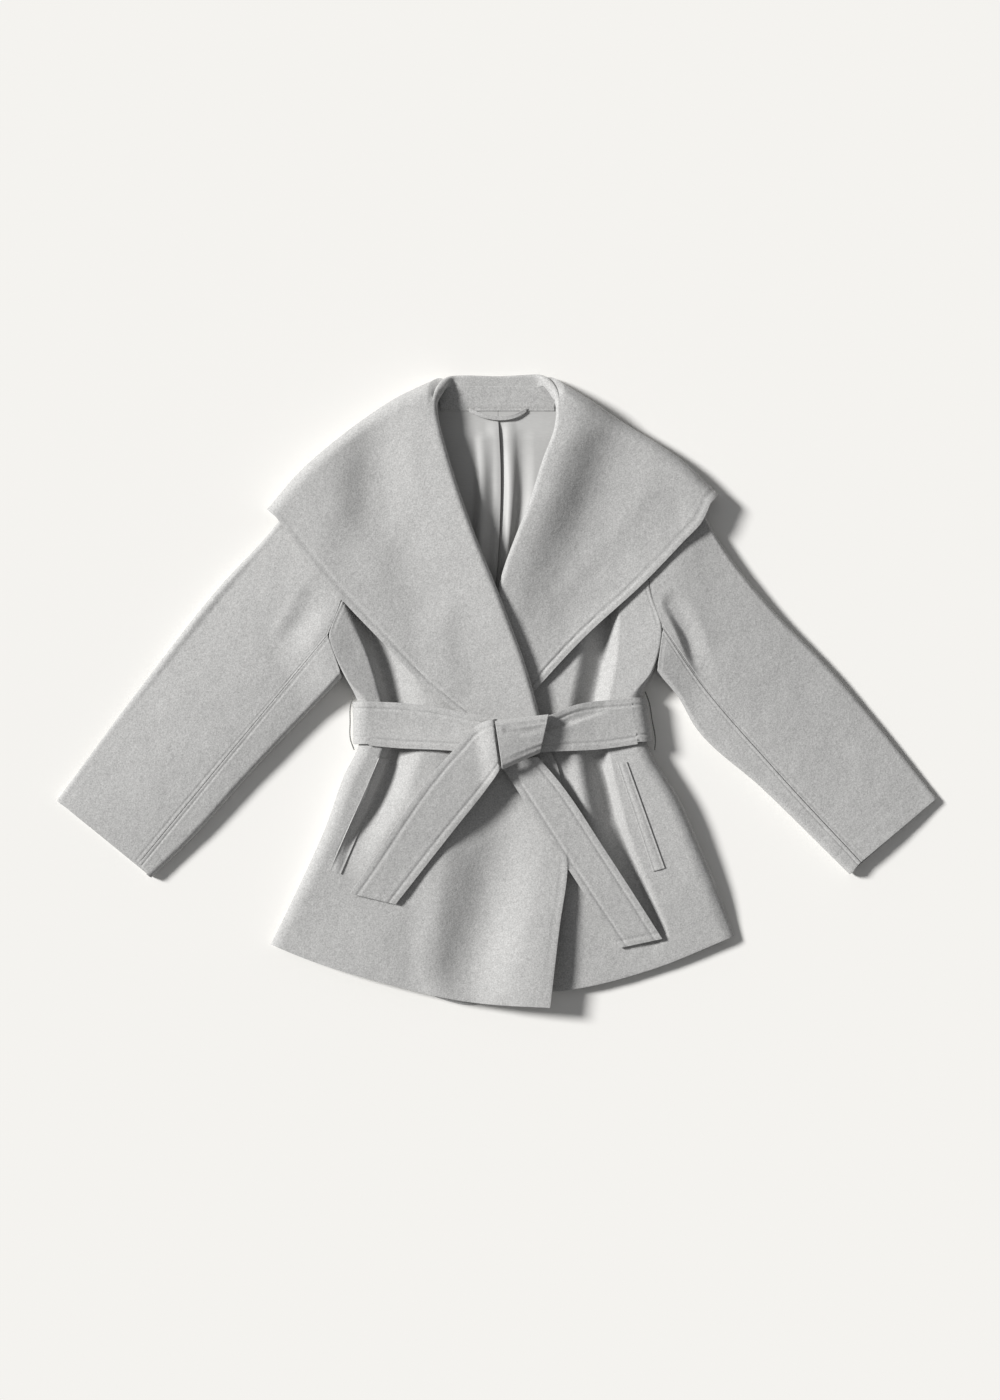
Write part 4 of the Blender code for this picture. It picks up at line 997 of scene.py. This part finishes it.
def tube(name, points, radius, sides=12):
    """A twisted thread along a curve."""
    line = curve(points)(np.linspace(0, 1, 60))
    tangent = unit(np.gradient(line, axis=0))
    first = unit(np.cross(tangent, np.array((0.0, 0.0, 1.0))))
    second = np.cross(tangent, first)
    turn = 2 * math.pi * np.arange(sides) / sides
    # Two plies twist round each other.
    twist = np.linspace(0, 2 * math.pi * THREAD_TURNS, len(line))[:, None]
    swell = radius * (0.86 + 0.14 * np.cos(2 * (turn[None] - twist)))
    verts = (line[:, None] + swell[..., None] * (first[:, None] * np.cos(turn)[None, :, None]
             + second[:, None] * np.sin(turn)[None, :, None])).reshape(-1, 3)
    faces = []
    for i in range(len(line) - 1):
        for k in range(sides):
            n = (k + 1) % sides
            faces.append((i * sides + k, i * sides + n, (i + 1) * sides + n, (i + 1) * sides + k))
    faces.append(tuple(range(sides))[::-1])
    faces.append(tuple(range((len(line) - 1) * sides, len(line) * sides)))
    mesh = bpy.data.meshes.new("thread_" + name)
    mesh.from_pydata([tuple(v * MM) for v in verts], [], faces)
    mesh.shade_smooth()
    mesh.materials.append(LOOKS["thread"])
    piece = added("thread_" + name, mesh)
    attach(piece, "root")
    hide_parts(name)


def face_of(name):
    """Height of the upper face of a piece that is already made."""
    mesh = bpy.data.objects[name].data
    tree = BVHTree.FromPolygons([v.co for v in mesh.vertices], [p.vertices for p in mesh.polygons])

    def height(x, y):
        hits = [tree.ray_cast((a * MM, b * MM, 1.0), (0, 0, -1))[0][2] / MM
                for a, b in zip(np.ravel(x), np.ravel(y))]
        return np.array(hits).reshape(np.shape(x))
    return height


def build_trim():
    tube("belt_loop_left", LOOP_LEFT, THREAD)
    tube("belt_loop_right", LOOP_RIGHT, THREAD)
    for name, (first, second), panel in (("pocket_welt_left", WELT_LEFT, "front_over"),
                                         ("pocket_welt_right", WELT_RIGHT, "front_under")):
        face = face_of("cloth_" + panel)
        strip(name, first, second, lambda x, y: face(x, y) + 0.4 + WELT, 130, 16, WELT,
              rests_on=["cloth_" + panel], rough=0.0,
              stitched=((1, True, 2.2, 0.4), (1, False, 2.2, 0.4)))
    strip("neck_facing", ((-76, 366), (68, 366)), ((-72, 336), (66, 336)),
          lambda x, y: base(x, y) + WOOL + FACING + 0.3, 90, 24, FACING, rests_on=["back"],
          stitched=((1, False, 2.5, 0.5),))
    line = [p[:2] for p in HANGER]
    heights = np.array([(p[0], p[2]) for p in HANGER], float)
    half = HANGER_WIDTH / 2
    strip("hanger_loop", [(x, y + half) for x, y in line], [(x, y - half) for x, y in line],
          lambda x, y: hermite(heights[:, 0], heights[:, 1], np.clip(x, -37, 32)), 90, 12,
          HANGER_WALL, rests_on=["cloth_neck_facing"], rough=0.1,
          stitched=((1, True, 1.2, 0.25), (1, False, 1.2, 0.25)))


def build_lining():
    ys = np.linspace(345, 112, 40)
    pleat_at = x_on(PLEAT)
    pleat = pleat_at(ys)
    left = [(x, y) for x, y in zip(roll_left(ys) - 26, ys)]
    right = [(x, y) for x, y in zip(np.maximum(roll_right(ys) + 22, pleat + 12), ys)]
    middle_left = [(x - SEAM / 2, y) for x, y in zip(pleat, ys)]
    middle_right = [(x + SEAM / 2, y) for x, y in zip(pleat, ys)]

    # The pleat's left side laps over its right side.
    def lapping(x, y):
        return lining(x, y) + LAP_OVER * step(-18, -3, x - pleat_at(y)) * step(334, 310, y)

    def lapped(x, y):
        return lining(x, y) - LAP_UNDER * step(12, 0, x - pleat_at(y)) * step(334, 310, y)

    strip("lining_left", left, middle_left, lapping, *LINING_GRID, SATIN, "satin", ["back"],
          rough=0.15)
    strip("lining_right", middle_right, right, lapped, *LINING_GRID, SATIN, "satin", ["back"],
          rough=0.15)


# ---------------------------------------------------------------- light, floor and camera

def build_setting():
    mesh = bpy.data.meshes.new("floor")
    mesh.from_pydata([(x * FLOOR_HALF, y * FLOOR_HALF, FLOOR_Z)
                      for x, y in ((-1, -1), (1, -1), (1, 1), (-1, 1))], [], [(0, 1, 2, 3)])
    mat, _, shader = nodes_of("floor")
    set_sockets(shader, FLOOR_SOCKETS)
    mesh.materials.append(mat)
    floor = added("floor", mesh)

    sun = added("sun", bpy.data.lights.new("sun", "SUN"))
    sun.data.energy = SUN_POWER
    sun.data.angle = math.radians(SUN_ANGLE)
    sun.data.color = SUN_COLOUR
    rise = math.radians(SUN_RISE)
    travel = Vector((math.cos(rise) * SUN_HEADING[0], math.cos(rise) * SUN_HEADING[1],
                     -math.sin(rise)))
    sun.rotation_mode = "QUATERNION"
    sun.rotation_quaternion = travel.to_track_quat("-Z", "Y")

    world = bpy.data.worlds.new("sky")
    world.use_nodes = True
    sky = world.node_tree.nodes["Background"]
    sky.inputs["Color"].default_value = SKY_COLOUR
    sky.inputs["Strength"].default_value = SKY_POWER
    bpy.context.scene.world = world

    cam = added("camera", bpy.data.cameras.new("camera"))
    cam.data.lens = CAMERA_LENS
    cam.data.sensor_width = CAMERA_SENSOR
    cam.location = CAMERA_PLACE
    cam.data.clip_end = 100
    bpy.context.scene.camera = cam
    view = bpy.context.scene.view_settings
    view.view_transform = "Standard"
    view.look = "None"
    view.exposure = 0.0
    view.gamma = 1.0


for build in (build_fronts, build_back, build_collar, build_sleeves, build_belt, build_knot,
              build_trim, build_lining, build_setting):
    build()
